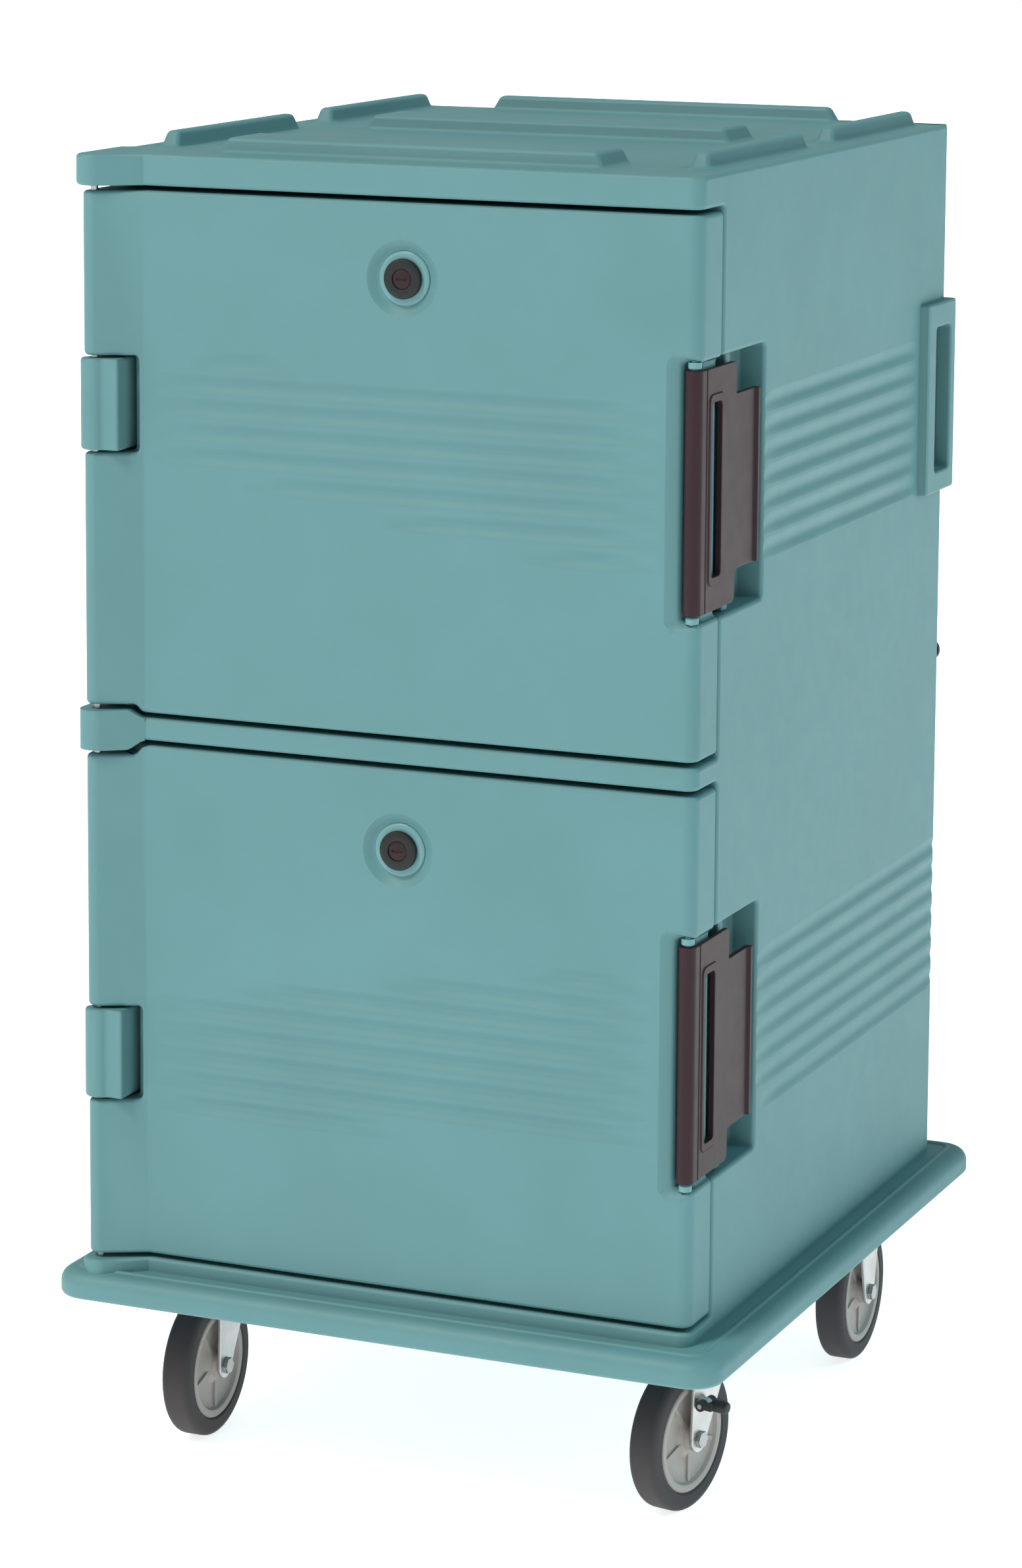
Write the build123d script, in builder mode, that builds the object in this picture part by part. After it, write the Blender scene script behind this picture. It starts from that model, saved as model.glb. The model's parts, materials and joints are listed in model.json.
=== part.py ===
"""Insulated food carrier on casters: two front-opening compartments in one foamed shell.

Frame: millimetres, +Z up, the doors face -Y, origin on the floor under the middle of the base.
"""

from build123d import *
import os
from math import atan2, cos, sin

os.makedirs("parts", exist_ok=True)

# ---------------------------------------------------------------- driving dimensions
BODY_HALF_WIDTH = 326.0
BODY_FRONT = -316.0  # face that the doors close against
BODY_REAR = 378.0
DOOR_THICKNESS = 62.0
DOOR_FACE = BODY_FRONT - DOOR_THICKNESS
DECK_Z = 1370.0  # flat of the top
BASE_Z = 187.0  # underside of the base
BASE_TOP_Z = 217.0  # top of the bumper ledge
SILL_TOP_Z = 229.5  # sill under the lower door
BUMPER_OUT = 40.0  # how far the base stands out all round
BUMPER_CORNER_RADIUS = 34.0
BUMPER_TOP_RADIUS = 16.0
BUMPER_LOW_RADIUS = 5.0
SKIN = 5.0  # moulded shell wall
LINER_WALL = 4.0
OVERCUT = 1.0  # how far a cut runs past the face it opens
BODY_CORNER_RADIUS = 14.0
REAR_CORNER_RADIUS = 12.0

LID_UNDERSIDE_Z = 1338.0
RAIL_LOW_Z = 773.5  # rail between the doors
RAIL_HIGH_Z = 796.5
RAIL_BLOCK_EXTRA = 9.0  # the rail is thicker at its hinge end
RAIL_BLOCK_TOP = 33.0
RAIL_BLOCK_FOOT = 49.0
DOOR_GAP = 5.0
RAIL_FOAM_CUT = 21.0
RAIL_FOAM_RADIUS = 60.0
DOOR_SPANS = {"upper": (802.0, 1333.0), "lower": (234.0, 768.0)}

CAVITY_HALF_WIDTH = 272.0
CAVITY_REAR = 332.0
CAVITY_SPANS = {"upper": (830.0, 1312.0), "lower": (258.0, 740.0)}
PAN_RAIL_COUNT = 11
PAN_RAIL_PITCH = 38.0
PAN_RAIL_DEPTH = 8.0
PAN_RAIL_HEIGHT = 8.0
PAN_RAIL_FIRST = 52.0  # first rail above the cavity floor
PAN_RAIL_ENDS = (22.0, 20.0)  # left free at the front and the back

DECK_RIDGE_HEIGHT = 16.0
DECK_RIDGE_WIDTH = 22.0
DECK_SIDE_X = 288.0
DECK_BACK_Y = 352.0
DECK_BACK_SPAN = 206.0
DECK_SIDE_SPANS = ((-290.0, -2.0), (72.0, 345.0))
DECK_CROSS_SPAN = 209.0
DECK_CROSS_Y = (-338.0, 8.0)
DECK_BAR_DEPTH = 76.0

HINGE_X = -320.0
HINGE_Y = -390.0
LID_RADIUS = 18.0  # round hinge corner of the lid, rail and sill
KNUCKLE_RADIUS = 15.0
BARREL_RADIUS = 11.0  # round hinge edge of the doors
HINGE_CREASE_X = -271.0  # where the flared hinge stile meets the flat of the door
HINGE_PIN_RADIUS = 4.0
HINGE_PIN_SPANS = {"upper": (787.0, 1350.0), "lower": (222.0, 783.0)}
RUNNING_GAP = 0.05
DOOR_BACK = BODY_FRONT - 3.0
PANEL_THICKNESS = 4.0
PANEL_X = (-281.0, 308.0)
PANEL_MARGIN = 18.0  # panel edge to door edge, top and bottom
PLUG_STEP = 15.0  # how far the door panel reaches into the cavity
PANEL_CLEARANCE = 8.0
GASKET_GAP = 0.3
GASKET_X = (274.5, 285.0)
GASKET_OFFSET = (4.0, 17.0)  # gasket ring outside the cavity, top and bottom
HINGE_SLEEVE_RADIUS = 8.0
KNUCKLE_HEIGHT = 93.0
KNUCKLE_CENTRES = {"upper": 1118.0, "lower": 447.0}
KNUCKLE_LEFT = -326.5
KNUCKLE_RIGHT = -290.0
KNUCKLE_ARM_FRONT = 12.0  # arm reaches this far in front of the hinge axis
KNUCKLE_WINDOW_GAP = 2.5
KNUCKLE_WINDOW_DEEP_X = -286.0
KNUCKLE_WINDOW_FRONT_X = -277.0
KNUCKLE_WINDOW_FRONT_Y = -370.0

LATCH_X = 317.0
LATCH_Y = -369.0
LATCH_BARREL_RADIUS = 9.0
LATCH_HEIGHT = 238.0
LATCH_CENTRES = {"upper": 1065.0, "lower": 500.0}
LATCH_PIN_RADIUS = 3.0
LATCH_PLATE = 5.0
LATCH_PADDLE_REAR = -219.0
LATCH_PADDLE_HEIGHT = 174.0
LATCH_PLATE_INNER = 321.0
LATCH_RECESS_REAR = -198.0
LATCH_RECESS_HEIGHT = 256.0
LATCH_RECESS_FLOOR = 296.0
LATCH_LIP_X = 318.0
LATCH_POCKET_X = 306.0
LATCH_POCKET_BEVEL_X = 294.0
LATCH_POCKET_FLOOR_Y = -357.0
LATCH_POCKET_SIDE_X = 320.0
LATCH_POCKET_HEIGHT = 254.0
LATCH_SLOT_Y = (-345.0, -320.0)
LATCH_SLOT_HEIGHT = 171.0
LATCH_STEM_REAR = -278.0
KEEPER_Y = (-290.0, -276.0)
KEEPER_GAP = 0.4
LATCH_PIN_GRIP = 12.0
LATCH_GRIP = 6.0
LATCH_BOSS_RADIUS = 6.5
LATCH_BOSS_HEIGHT = 7.0

VENT_CENTRES = {"upper": (13.0, 1258.0), "lower": (10.0, 686.0)}
VENT_BORE = 9.0
VENT_DIMPLE_RADIUS = 36.0
VENT_DIMPLE_DEPTH = 7.0
VENT_CAP_RADIUS = 20.0
VENT_CAP_FRONT = -380.0
VENT_CAP_GAP = 0.4
VENT_FLANGE_RADIUS = 27.0
VENT_FLANGE = 3.0
VENT_STEM_RADIUS = 6.0
VENT_STEM_LENGTH = 40.0
VENT_CAP_EDGE = 2.0

HANDLE_Z = (971.0, 1180.0)
HANDLE_SLOT_Z = (994.0, 1153.0)
HANDLE_SLOT_Y = (316.0, 366.0)
HANDLE_FRONT = 286.0
HANDLE_REAR = 382.0
HANDLE_OUT = 10.0  # how far the grip stands outside the side wall
HANDLE_NOTCH_X = 288.0
HANDLE_INSIDE = 6.0
HANDLE_FLARE = 16.0
PLUG_X = 312.0
PLUG_Z = 785.0
PLUG_RADIUS = 6.0
PLUG_CAP_RADIUS = 12.5
PLUG_CAP_DEPTH = 9.0

WHEEL_RADIUS = 76.0
WHEEL_WIDTH = 32.0
WHEEL_HUB_RADIUS = 57.0
AXLE_RADIUS = 5.0
CASTER_X = 272.0
CASTER_FRONT_Y = -221.0
CASTER_TRAIL = 26.0
CASTER_REAR_Y = 266.0
SWIVEL_TURNS = {"front_left": 0.0, "front_right": -10.5}  # degrees about the kingpin
BRAKED = "front_right"
CASTER_PLATE = (102.0, 114.0, 5.0)
FORK_INNER = 20.0
FORK_PLATE = 4.0
FORK_EYE_RADIUS = 14.0
FORK_SHOULDER = 16.0
REAR_LEG_HALF = 38.0
TREAD_EDGE = 5.0
CROWN_Z = 160.0
CROWN_THICKNESS = 6.0
CROWN_Y = (-40.0, 32.0)
RACEWAY_RADIUS = 38.0
RACEWAY_SPLIT_Z = 172.0
RACEWAY_GAP = 0.4
KINGPIN_RADIUS = 8.0
KINGPIN_LOW_Z = 156.0
AXLE_HEAD = (9.0, 5.0)
HUB_BOSS_RADIUS = 13.0
HUB_BOSS_HALF = 19.4
HUB_DISH = (18.0, 49.0, 7.0)
BOLT_SPACING = (76.0, 90.0)
BOLT_RADIUS = 4.0
BOLT_HEAD = (7.5, 5.0)
BRAKE_PIVOT_OUT = 31.0  # from the wheel's middle plane
BRAKE_PIVOT_Z = 115.0
BRAKE_PIN_RADIUS = 2.5
BRAKE_EYE_RADIUS = 5.5
BRAKE_LUG_HALF = 4.0
BRAKE_HALF_WIDTH = 13.0
BRAKE_REACH = 58.0
BRAKE_PAD = 6.0

PLATE_LOW_Z = BASE_Z - CASTER_PLATE[2]


def save(piece, name, turn=0.0, pivot=(0.0, 0.0)):
    """Labels a finished piece and writes it as one STEP file, turned about an upright line if asked."""
    part = piece.part
    if turn:
        part = part.rotate(Axis((*pivot, 0.0), (0.0, 0.0, 1.0)), turn)
    part.label = name
    export_step(part, "parts/" + name + ".step")


def block(x0, x1, y0, y1, z0, z1, mode=Mode.ADD):
    """Box between two corners, in the open builder."""
    with Locations(((x0 + x1) / 2, (y0 + y1) / 2, (z0 + z1) / 2)):
        Box(abs(x1 - x0), y1 - y0, z1 - z0, mode=mode)


def rod(x, y, z0, z1, radius, mode=Mode.ADD):
    """Upright cylinder, in the open builder."""
    with Locations((x, y, (z0 + z1) / 2)):
        Cylinder(radius, z1 - z0, mode=mode)


def cross_rod(x0, x1, y, z, radius, mode=Mode.ADD):
    """Cylinder along X, in the open builder."""
    with Locations(((x0 + x1) / 2, y, z)):
        Cylinder(radius, abs(x1 - x0), rotation=(0, 90, 0), mode=mode)


def door_rod(x, z, y0, y1, radius, mode=Mode.ADD):
    """Cylinder along Y, in the open builder."""
    with Locations((x, (y0 + y1) / 2, z)):
        Cylinder(radius, y1 - y0, rotation=(90, 0, 0), mode=mode)


# ---------------------------------------------------------------- plan outlines
def hinge_tangent(radius):
    """Point where the flared stile face touches a hinge barrel of this radius."""
    to_crease = Vector(HINGE_CREASE_X - HINGE_X, DOOR_FACE - HINGE_Y, 0)
    side = (to_crease.length**2 - radius**2) ** 0.5
    angle = atan2(to_crease.Y, to_crease.X) - atan2(side, radius)
    return (HINGE_X + radius * cos(angle), HINGE_Y + radius * sin(angle))


def plan_outline(back, corner, inset):
    """Plan of a door, lid or sill with its flared hinge corner, drawn in by inset."""
    radius = corner - inset
    left = HINGE_X - radius
    front = DOOR_FACE + inset
    tangent = hinge_tangent(radius)
    with BuildSketch() as plan:
        with BuildLine():
            Polyline(
                (left, HINGE_Y),
                (left, back),
                (BODY_HALF_WIDTH - inset, back),
                (BODY_HALF_WIDTH - inset, front),
                (HINGE_CREASE_X, front),
                tangent,
                (HINGE_X, HINGE_Y),
                close=True,
            )
        make_face()
        with Locations((HINGE_X, HINGE_Y)):
            Circle(radius)
        free_corner = plan.vertices().sort_by(lambda v: v.X - v.Y)[-1]
        fillet(free_corner, BODY_CORNER_RADIUS - inset)
    return plan.sketch


def body_plan(inset):
    """Plan of the body behind the doors, drawn in by inset."""
    width = 2 * (BODY_HALF_WIDTH - inset)
    depth = BODY_REAR - BODY_FRONT - 2 * inset
    with BuildSketch() as plan:
        with Locations((0, (BODY_REAR + BODY_FRONT) / 2)):
            Rectangle(width, depth)
        fillet(plan.vertices().group_by(Axis.Y)[-1], REAR_CORNER_RADIUS - inset)
    return plan.sketch


def base_plan(inset):
    """Plan of the base with its bumper, drawn in by inset."""
    width = 2 * (BODY_HALF_WIDTH + BUMPER_OUT - inset)
    depth = BODY_REAR - DOOR_FACE + 2 * (BUMPER_OUT - inset)
    with BuildSketch() as plan:
        RectangleRounded(width, depth, BUMPER_CORNER_RADIUS - min(inset, SKIN))
    return plan.sketch


OUTER_PLAN = plan_outline(BODY_FRONT + 3 * SKIN, LID_RADIUS, 0)
INNER_PLAN = plan_outline(BODY_FRONT + 2 * SKIN, LID_RADIUS, SKIN)
BASE_PLAN = base_plan(0)
BASE_INNER_PLAN = base_plan(SKIN)
BODY_PLAN = body_plan(0)
BODY_INNER_PLAN = body_plan(SKIN)


def prism(plan, low, high, mode=Mode.ADD):
    """Upright prism on a plan, in the open builder."""
    with BuildSketch(Plane.XY.offset(low)) as base:
        add(plan)
    extrude(base.sketch, amount=high - low, mode=mode)


# ---------------------------------------------------------------- shell and insulation
CASTER_CENTRES = {
    "front_left": (-CASTER_X, CASTER_FRONT_Y),
    "front_right": (CASTER_X, CASTER_FRONT_Y),
    "rear_left": (-CASTER_X, CASTER_REAR_Y),
    "rear_right": (CASTER_X, CASTER_REAR_Y),
}


def deck_ridges(inset):
    """Raised bars on top that keep a stacked carrier in place, drawn in by inset."""
    top = DECK_Z + DECK_RIDGE_HEIGHT - inset
    half = DECK_RIDGE_WIDTH / 2
    bars = [(-DECK_BACK_SPAN, DECK_BACK_SPAN, DECK_BACK_Y - half, DECK_BACK_Y + half)]
    for x in (-DECK_SIDE_X, DECK_SIDE_X):
        for y0, y1 in DECK_SIDE_SPANS:
            bars.append((x - half, x + half, y0, y1))
    for y in DECK_CROSS_Y:
        bars.append((-DECK_CROSS_SPAN, DECK_CROSS_SPAN, y, y + DECK_BAR_DEPTH))
    for x0, x1, y0, y1 in bars:
        long_x = x1 - x0 > y1 - y0
        end_x, end_y = (3 * inset, 1.5 * inset) if long_x else (1.5 * inset, 3 * inset)
        block(x0 + end_x, x1 - end_x, y0 + end_y, y1 - end_y, DECK_Z - 2 * SKIN, top)


def latch_recess(level, grow):
    """Cuts the hollow in the right side wall behind a latch paddle."""
    half = LATCH_RECESS_HEIGHT / 2 + grow
    front = BODY_FRONT if grow else BODY_FRONT + SKIN
    low, high = LATCH_CENTRES[level] - half, LATCH_CENTRES[level] + half
    rear = LATCH_RECESS_REAR + grow
    block(LATCH_RECESS_FLOOR - grow, BODY_HALF_WIDTH + OVERCUT, front, rear, low, high, Mode.SUBTRACT)


def handle_notch(side, grow):
    """Cuts the hollow in a rear corner of the body behind a handle grip."""
    x0, x1 = sorted((side * (HANDLE_NOTCH_X - grow), side * (BODY_HALF_WIDTH + OVERCUT)))
    low, high = HANDLE_SLOT_Z[0] - grow, HANDLE_SLOT_Z[1] + grow
    block(x0, x1, HANDLE_SLOT_Y[0] - grow, BODY_REAR + OVERCUT, low, high, Mode.SUBTRACT)


def rail_cones(grow):
    """Round thickening of the rail about the hinge pins, above and below it."""
    reach = (RAIL_BLOCK_FOOT + grow, RAIL_BLOCK_TOP + grow)
    height = RAIL_BLOCK_EXTRA + grow
    with Locations((HINGE_X, HINGE_Y, RAIL_HIGH_Z + height / 2)):
        Cone(reach[0], reach[1], height)
    with Locations((HINGE_X, HINGE_Y, RAIL_LOW_Z - height / 2)):
        Cone(reach[1], reach[0], height)


with BuildPart() as rail_block:
    rail_cones(0)
    rod(HINGE_X, HINGE_Y, RAIL_LOW_Z, RAIL_HIGH_Z, RAIL_BLOCK_FOOT)
    prism(OUTER_PLAN, RAIL_LOW_Z - 2 * SKIN, RAIL_HIGH_Z + 2 * SKIN, Mode.INTERSECT)

with BuildPart() as rail_clearance:
    rail_cones(DOOR_GAP)

with BuildPart() as body_outer:
    prism(BASE_PLAN, BASE_Z, BASE_TOP_Z)
    fillet(body_outer.edges().group_by(Axis.Z)[-1], BUMPER_TOP_RADIUS)
    fillet(body_outer.edges().group_by(Axis.Z)[0], BUMPER_LOW_RADIUS)
    prism(BODY_PLAN, BASE_Z, DECK_Z)
    prism(OUTER_PLAN, LID_UNDERSIDE_Z, DECK_Z)
    prism(OUTER_PLAN, RAIL_LOW_Z, RAIL_HIGH_Z)
    prism(OUTER_PLAN, BASE_TOP_Z - 2 * SKIN, SILL_TOP_Z)
    add(rail_block.part)
    deck_ridges(0)

with BuildPart() as body_inner:
    prism(BASE_INNER_PLAN, BASE_Z + SKIN, BASE_TOP_Z - SKIN)
    fillet(body_inner.edges().group_by(Axis.Z)[-1], BUMPER_TOP_RADIUS - SKIN)
    prism(BODY_INNER_PLAN, BASE_Z + SKIN, DECK_Z - SKIN)
    prism(INNER_PLAN, LID_UNDERSIDE_Z + SKIN, DECK_Z - SKIN)
    prism(INNER_PLAN, RAIL_LOW_Z + SKIN, RAIL_HIGH_Z - SKIN)
    prism(INNER_PLAN, BASE_TOP_Z - 2 * SKIN, SILL_TOP_Z - SKIN)
    deck_ridges(SKIN)
    for level in CAVITY_SPANS:
        latch_recess(level, SKIN)
    for side in (-1, 1):
        handle_notch(side, SKIN)

liner_solids = {}
for level, (floor_z, ceiling_z) in CAVITY_SPANS.items():
    with BuildPart() as liner_solid:
        x = CAVITY_HALF_WIDTH + LINER_WALL
        rear = CAVITY_REAR + LINER_WALL
        block(-x, x, BODY_FRONT, rear, floor_z - LINER_WALL, ceiling_z + LINER_WALL)
    liner_solids[level] = liner_solid.part
    with BuildPart() as liner:
        add(liner_solid.part)
        x = CAVITY_HALF_WIDTH
        block(-x, x, BODY_FRONT - OVERCUT, CAVITY_REAR, floor_z, ceiling_z, Mode.SUBTRACT)
        front = BODY_FRONT + PAN_RAIL_ENDS[0]
        back = CAVITY_REAR - PAN_RAIL_ENDS[1]
        for step in range(PAN_RAIL_COUNT):
            low = floor_z + PAN_RAIL_FIRST + step * PAN_RAIL_PITCH
            for side in (-1, 1):
                x0, x1 = sorted((side * (x - PAN_RAIL_DEPTH), side * (x + LINER_WALL / 2)))
                block(x0, x1, front, back, low, low + PAN_RAIL_HEIGHT)
    save(liner, "liner_" + level)

with BuildPart() as outer_shell:
    add(body_outer.part)
    add(body_inner.part, mode=Mode.SUBTRACT)
    for level in CAVITY_SPANS:
        add(liner_solids[level], mode=Mode.SUBTRACT)
        latch_recess(level, 0)
        half = LATCH_RECESS_HEIGHT / 2
        low, high = LATCH_CENTRES[level] - half, LATCH_CENTRES[level] + half
        front, back = BODY_FRONT - OVERCUT, BODY_FRONT + 2 * SKIN
        block(LATCH_LIP_X, BODY_HALF_WIDTH + OVERCUT, front, back, low, high, Mode.SUBTRACT)
        low, high = HINGE_PIN_SPANS[level]
        rod(HINGE_X, HINGE_Y, low, high, HINGE_PIN_RADIUS, Mode.SUBTRACT)
    for side in (-1, 1):
        handle_notch(side, 0)
    for x, y in CASTER_CENTRES.values():
        with Locations((x, y, BASE_Z + SKIN / 2)):
            with GridLocations(*BOLT_SPACING, 2, 2):
                Cylinder(BOLT_RADIUS, SKIN, mode=Mode.SUBTRACT)
    door_rod(PLUG_X, PLUG_Z, BODY_REAR - SKIN, BODY_REAR, PLUG_RADIUS, Mode.SUBTRACT)
save(outer_shell, "outer_shell")

with BuildPart() as foam_core:
    add(body_inner.part)
    for level in CAVITY_SPANS:
        add(liner_solids[level], mode=Mode.SUBTRACT)
        low, high = HINGE_PIN_SPANS[level]
        rod(HINGE_X, HINGE_Y, low, high, HINGE_PIN_RADIUS, Mode.SUBTRACT)
save(foam_core, "foam_core")

# ---------------------------------------------------------------- fittings fixed to the body
for level, centre in KNUCKLE_CENTRES.items():
    half = KNUCKLE_HEIGHT / 2
    with BuildPart() as knuckle:
        rod(HINGE_X, HINGE_Y, centre - half, centre + half, KNUCKLE_RADIUS)
        arm_front = HINGE_Y - KNUCKLE_ARM_FRONT
        low, high = centre - half, centre + half
        block(KNUCKLE_LEFT, KNUCKLE_RIGHT, arm_front, BODY_FRONT, low, high)
        rod(HINGE_X, HINGE_Y, low - OVERCUT, high + OVERCUT, HINGE_PIN_RADIUS, Mode.SUBTRACT)
    save(knuckle, "hinge_knuckle_" + level)

    low, high = HINGE_PIN_SPANS[level]
    with BuildPart() as hinge_pin:
        rod(HINGE_X, HINGE_Y, low, high, HINGE_PIN_RADIUS)
    save(hinge_pin, "hinge_pin_" + level)

for level, centre in LATCH_CENTRES.items():
    half = LATCH_RECESS_HEIGHT / 2
    with BuildPart() as keeper:
        block(LATCH_RECESS_FLOOR, LATCH_LIP_X, *KEEPER_Y, centre - half, centre + half)
    save(keeper, "latch_keeper_" + level)

for side, side_name in ((-1, "left"), (1, "right")):
    with BuildPart() as side_handle:
        with BuildSketch(Plane.XY.offset(HANDLE_Z[0])) as ear:
            with BuildLine():
                outside = side * (BODY_HALF_WIDTH + HANDLE_OUT)
                Polyline(
                    (side * (BODY_HALF_WIDTH - HANDLE_INSIDE), HANDLE_FRONT),
                    (side * BODY_HALF_WIDTH, HANDLE_FRONT),
                    (outside, HANDLE_FRONT + HANDLE_FLARE),
                    (outside, HANDLE_REAR),
                    (side * (BODY_HALF_WIDTH - HANDLE_INSIDE), HANDLE_REAR),
                    close=True,
                )
            make_face()
        extrude(amount=HANDLE_Z[1] - HANDLE_Z[0])
        add(body_outer.part, mode=Mode.SUBTRACT)
        x0, x1 = sorted((side * HANDLE_NOTCH_X, side * (BODY_HALF_WIDTH + 2 * HANDLE_OUT)))
        block(x0, x1, *HANDLE_SLOT_Y, *HANDLE_SLOT_Z, Mode.SUBTRACT)
    save(side_handle, "side_handle_" + side_name)

with BuildPart() as rear_plug:
    door_rod(PLUG_X, PLUG_Z, BODY_REAR - SKIN, BODY_REAR, PLUG_RADIUS)
    door_rod(PLUG_X, PLUG_Z, BODY_REAR, BODY_REAR + PLUG_CAP_DEPTH, PLUG_CAP_RADIUS)
    add(outer_shell.part, mode=Mode.SUBTRACT)
save(rear_plug, "rear_plug")


# ---------------------------------------------------------------- doors
def knuckle_window(level, grow):
    """Cuts the opening in a door's hinge stile around the body's hinge knuckle."""
    half = KNUCKLE_HEIGHT / 2 + KNUCKLE_WINDOW_GAP + grow
    low, high = KNUCKLE_CENTRES[level] - half, KNUCKLE_CENTRES[level] + half
    left = HINGE_X - 2 * KNUCKLE_RADIUS
    front = HINGE_Y - 2 * KNUCKLE_RADIUS
    deep = KNUCKLE_WINDOW_DEEP_X + grow
    wide = KNUCKLE_WINDOW_FRONT_X + grow
    block(left, deep, front, BODY_FRONT, low, high, Mode.SUBTRACT)
    block(left, wide, front, KNUCKLE_WINDOW_FRONT_Y + grow, low, high, Mode.SUBTRACT)


def latch_pocket(level, grow):
    """Cuts the hollow in a door's free edge that holds the latch barrel and plate."""
    half = LATCH_POCKET_HEIGHT / 2 + grow
    centre = LATCH_CENTRES[level]
    outside = BODY_HALF_WIDTH + 2 * SKIN
    front = DOOR_FACE - 2 * SKIN
    with BuildSketch(Plane.XY.offset(centre - half)) as hollow:
        with BuildLine():
            Polyline(
                (LATCH_POCKET_BEVEL_X - grow - 2 * SKIN, front),
                (LATCH_POCKET_X - grow, LATCH_Y - grow / 2),
                (LATCH_POCKET_X - grow, LATCH_POCKET_FLOOR_Y + grow),
                (LATCH_POCKET_SIDE_X - grow, LATCH_POCKET_FLOOR_Y + grow),
                (LATCH_POCKET_SIDE_X - grow, BODY_FRONT),
                (outside, BODY_FRONT),
                (outside, front),
                close=True,
            )
        make_face()
    extrude(hollow.sketch, amount=2 * half, mode=Mode.SUBTRACT)


DOOR_PLAN = plan_outline(DOOR_BACK, BARREL_RADIUS, 0)
DOOR_FOAM_PLAN = plan_outline(DOOR_BACK - PANEL_THICKNESS, BARREL_RADIUS, SKIN)

for level, (door_low, door_high) in DOOR_SPANS.items():
    vent_x, vent_z = VENT_CENTRES[level]
    floor_z, ceiling_z = CAVITY_SPANS[level]
    latch_z = LATCH_CENTRES[level]
    pin_half = LATCH_POCKET_HEIGHT / 2 + LATCH_PIN_GRIP
    dimple_floor = DOOR_FACE + VENT_DIMPLE_DEPTH
    plug_back = DOOR_BACK + PLUG_STEP

    with BuildPart() as door_panel:
        low, high = door_low + PANEL_MARGIN, door_high - PANEL_MARGIN
        block(*PANEL_X, DOOR_BACK - PANEL_THICKNESS, DOOR_BACK, low, high)
        x = CAVITY_HALF_WIDTH - PANEL_CLEARANCE
        low, high = floor_z + PANEL_CLEARANCE, ceiling_z - PANEL_CLEARANCE
        block(-x, x, DOOR_BACK, plug_back, low, high)
        back_edges = door_panel.edges().group_by(Axis.Y)[-1]
        chamfer(back_edges, PANEL_THICKNESS)
        door_rod(vent_x, vent_z, DOOR_FACE, plug_back + OVERCUT, VENT_BORE, Mode.SUBTRACT)
    save(door_panel, "door_panel_" + level)

    with BuildPart() as door_foam:
        prism(DOOR_FOAM_PLAN, door_low + SKIN, door_high - SKIN)
        knuckle_window(level, SKIN)
        latch_pocket(level, SKIN)
        rod(HINGE_X, HINGE_Y, door_low, door_high, HINGE_SLEEVE_RADIUS, Mode.SUBTRACT)
        rod(LATCH_X, LATCH_Y, latch_z - pin_half, latch_z + pin_half, LATCH_PIN_RADIUS, Mode.SUBTRACT)
        front = DOOR_FACE - OVERCUT
        door_rod(vent_x, vent_z, front, dimple_floor + SKIN, VENT_DIMPLE_RADIUS + SKIN, Mode.SUBTRACT)
        door_rod(vent_x, vent_z, front, DOOR_BACK, VENT_BORE, Mode.SUBTRACT)
        for z in (RAIL_LOW_Z, RAIL_HIGH_Z):
            rod(HINGE_X, HINGE_Y, z - RAIL_FOAM_CUT, z + RAIL_FOAM_CUT, RAIL_FOAM_RADIUS, Mode.SUBTRACT)
    save(door_foam, "door_foam_" + level)

    with BuildPart() as door_shell:
        prism(DOOR_PLAN, door_low, door_high)
        add(rail_clearance.part, mode=Mode.SUBTRACT)
        knuckle_window(level, 0)
        latch_pocket(level, 0)
        add(door_foam.part, mode=Mode.SUBTRACT)
        low, high = door_low + PANEL_MARGIN, door_high - PANEL_MARGIN
        block(*PANEL_X, DOOR_BACK - PANEL_THICKNESS, DOOR_BACK + OVERCUT, low, high, Mode.SUBTRACT)
        bore = HINGE_PIN_RADIUS + RUNNING_GAP
        rod(HINGE_X, HINGE_Y, door_low - OVERCUT, door_high + OVERCUT, bore, Mode.SUBTRACT)
        rod(LATCH_X, LATCH_Y, latch_z - pin_half, latch_z + pin_half, LATCH_PIN_RADIUS, Mode.SUBTRACT)
        front = DOOR_FACE - OVERCUT
        door_rod(vent_x, vent_z, front, dimple_floor, VENT_DIMPLE_RADIUS, Mode.SUBTRACT)
        door_rod(vent_x, vent_z, front, DOOR_BACK, VENT_BORE, Mode.SUBTRACT)
    save(door_shell, "door_shell_" + level)

    with BuildPart() as door_gasket:
        back = BODY_FRONT - GASKET_GAP
        inner, outer = GASKET_X
        near, far = GASKET_OFFSET
        block(-outer, outer, DOOR_BACK, back, floor_z - far, ceiling_z + far)
        block(-inner, inner, DOOR_BACK, back, floor_z - near, ceiling_z + near, Mode.SUBTRACT)
    save(door_gasket, "door_gasket_" + level)

    with BuildPart() as vent_sleeve:
        door_rod(vent_x, vent_z, dimple_floor, plug_back, VENT_BORE)
        door_rod(vent_x, vent_z, dimple_floor - VENT_FLANGE, dimple_floor, VENT_FLANGE_RADIUS)
        bore = VENT_STEM_RADIUS + RUNNING_GAP
        door_rod(vent_x, vent_z, DOOR_FACE, plug_back + OVERCUT, bore, Mode.SUBTRACT)
    save(vent_sleeve, "vent_sleeve_" + level)

    with BuildPart() as vent_cap:
        cap_back = dimple_floor - VENT_FLANGE - VENT_CAP_GAP
        door_rod(vent_x, vent_z, VENT_CAP_FRONT, cap_back, VENT_CAP_RADIUS)
        fillet(vent_cap.edges().group_by(Axis.Y)[0], VENT_CAP_EDGE)
        door_rod(vent_x, vent_z, cap_back, cap_back + VENT_STEM_LENGTH, VENT_STEM_RADIUS)
    save(vent_cap, "vent_cap_" + level)

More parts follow.
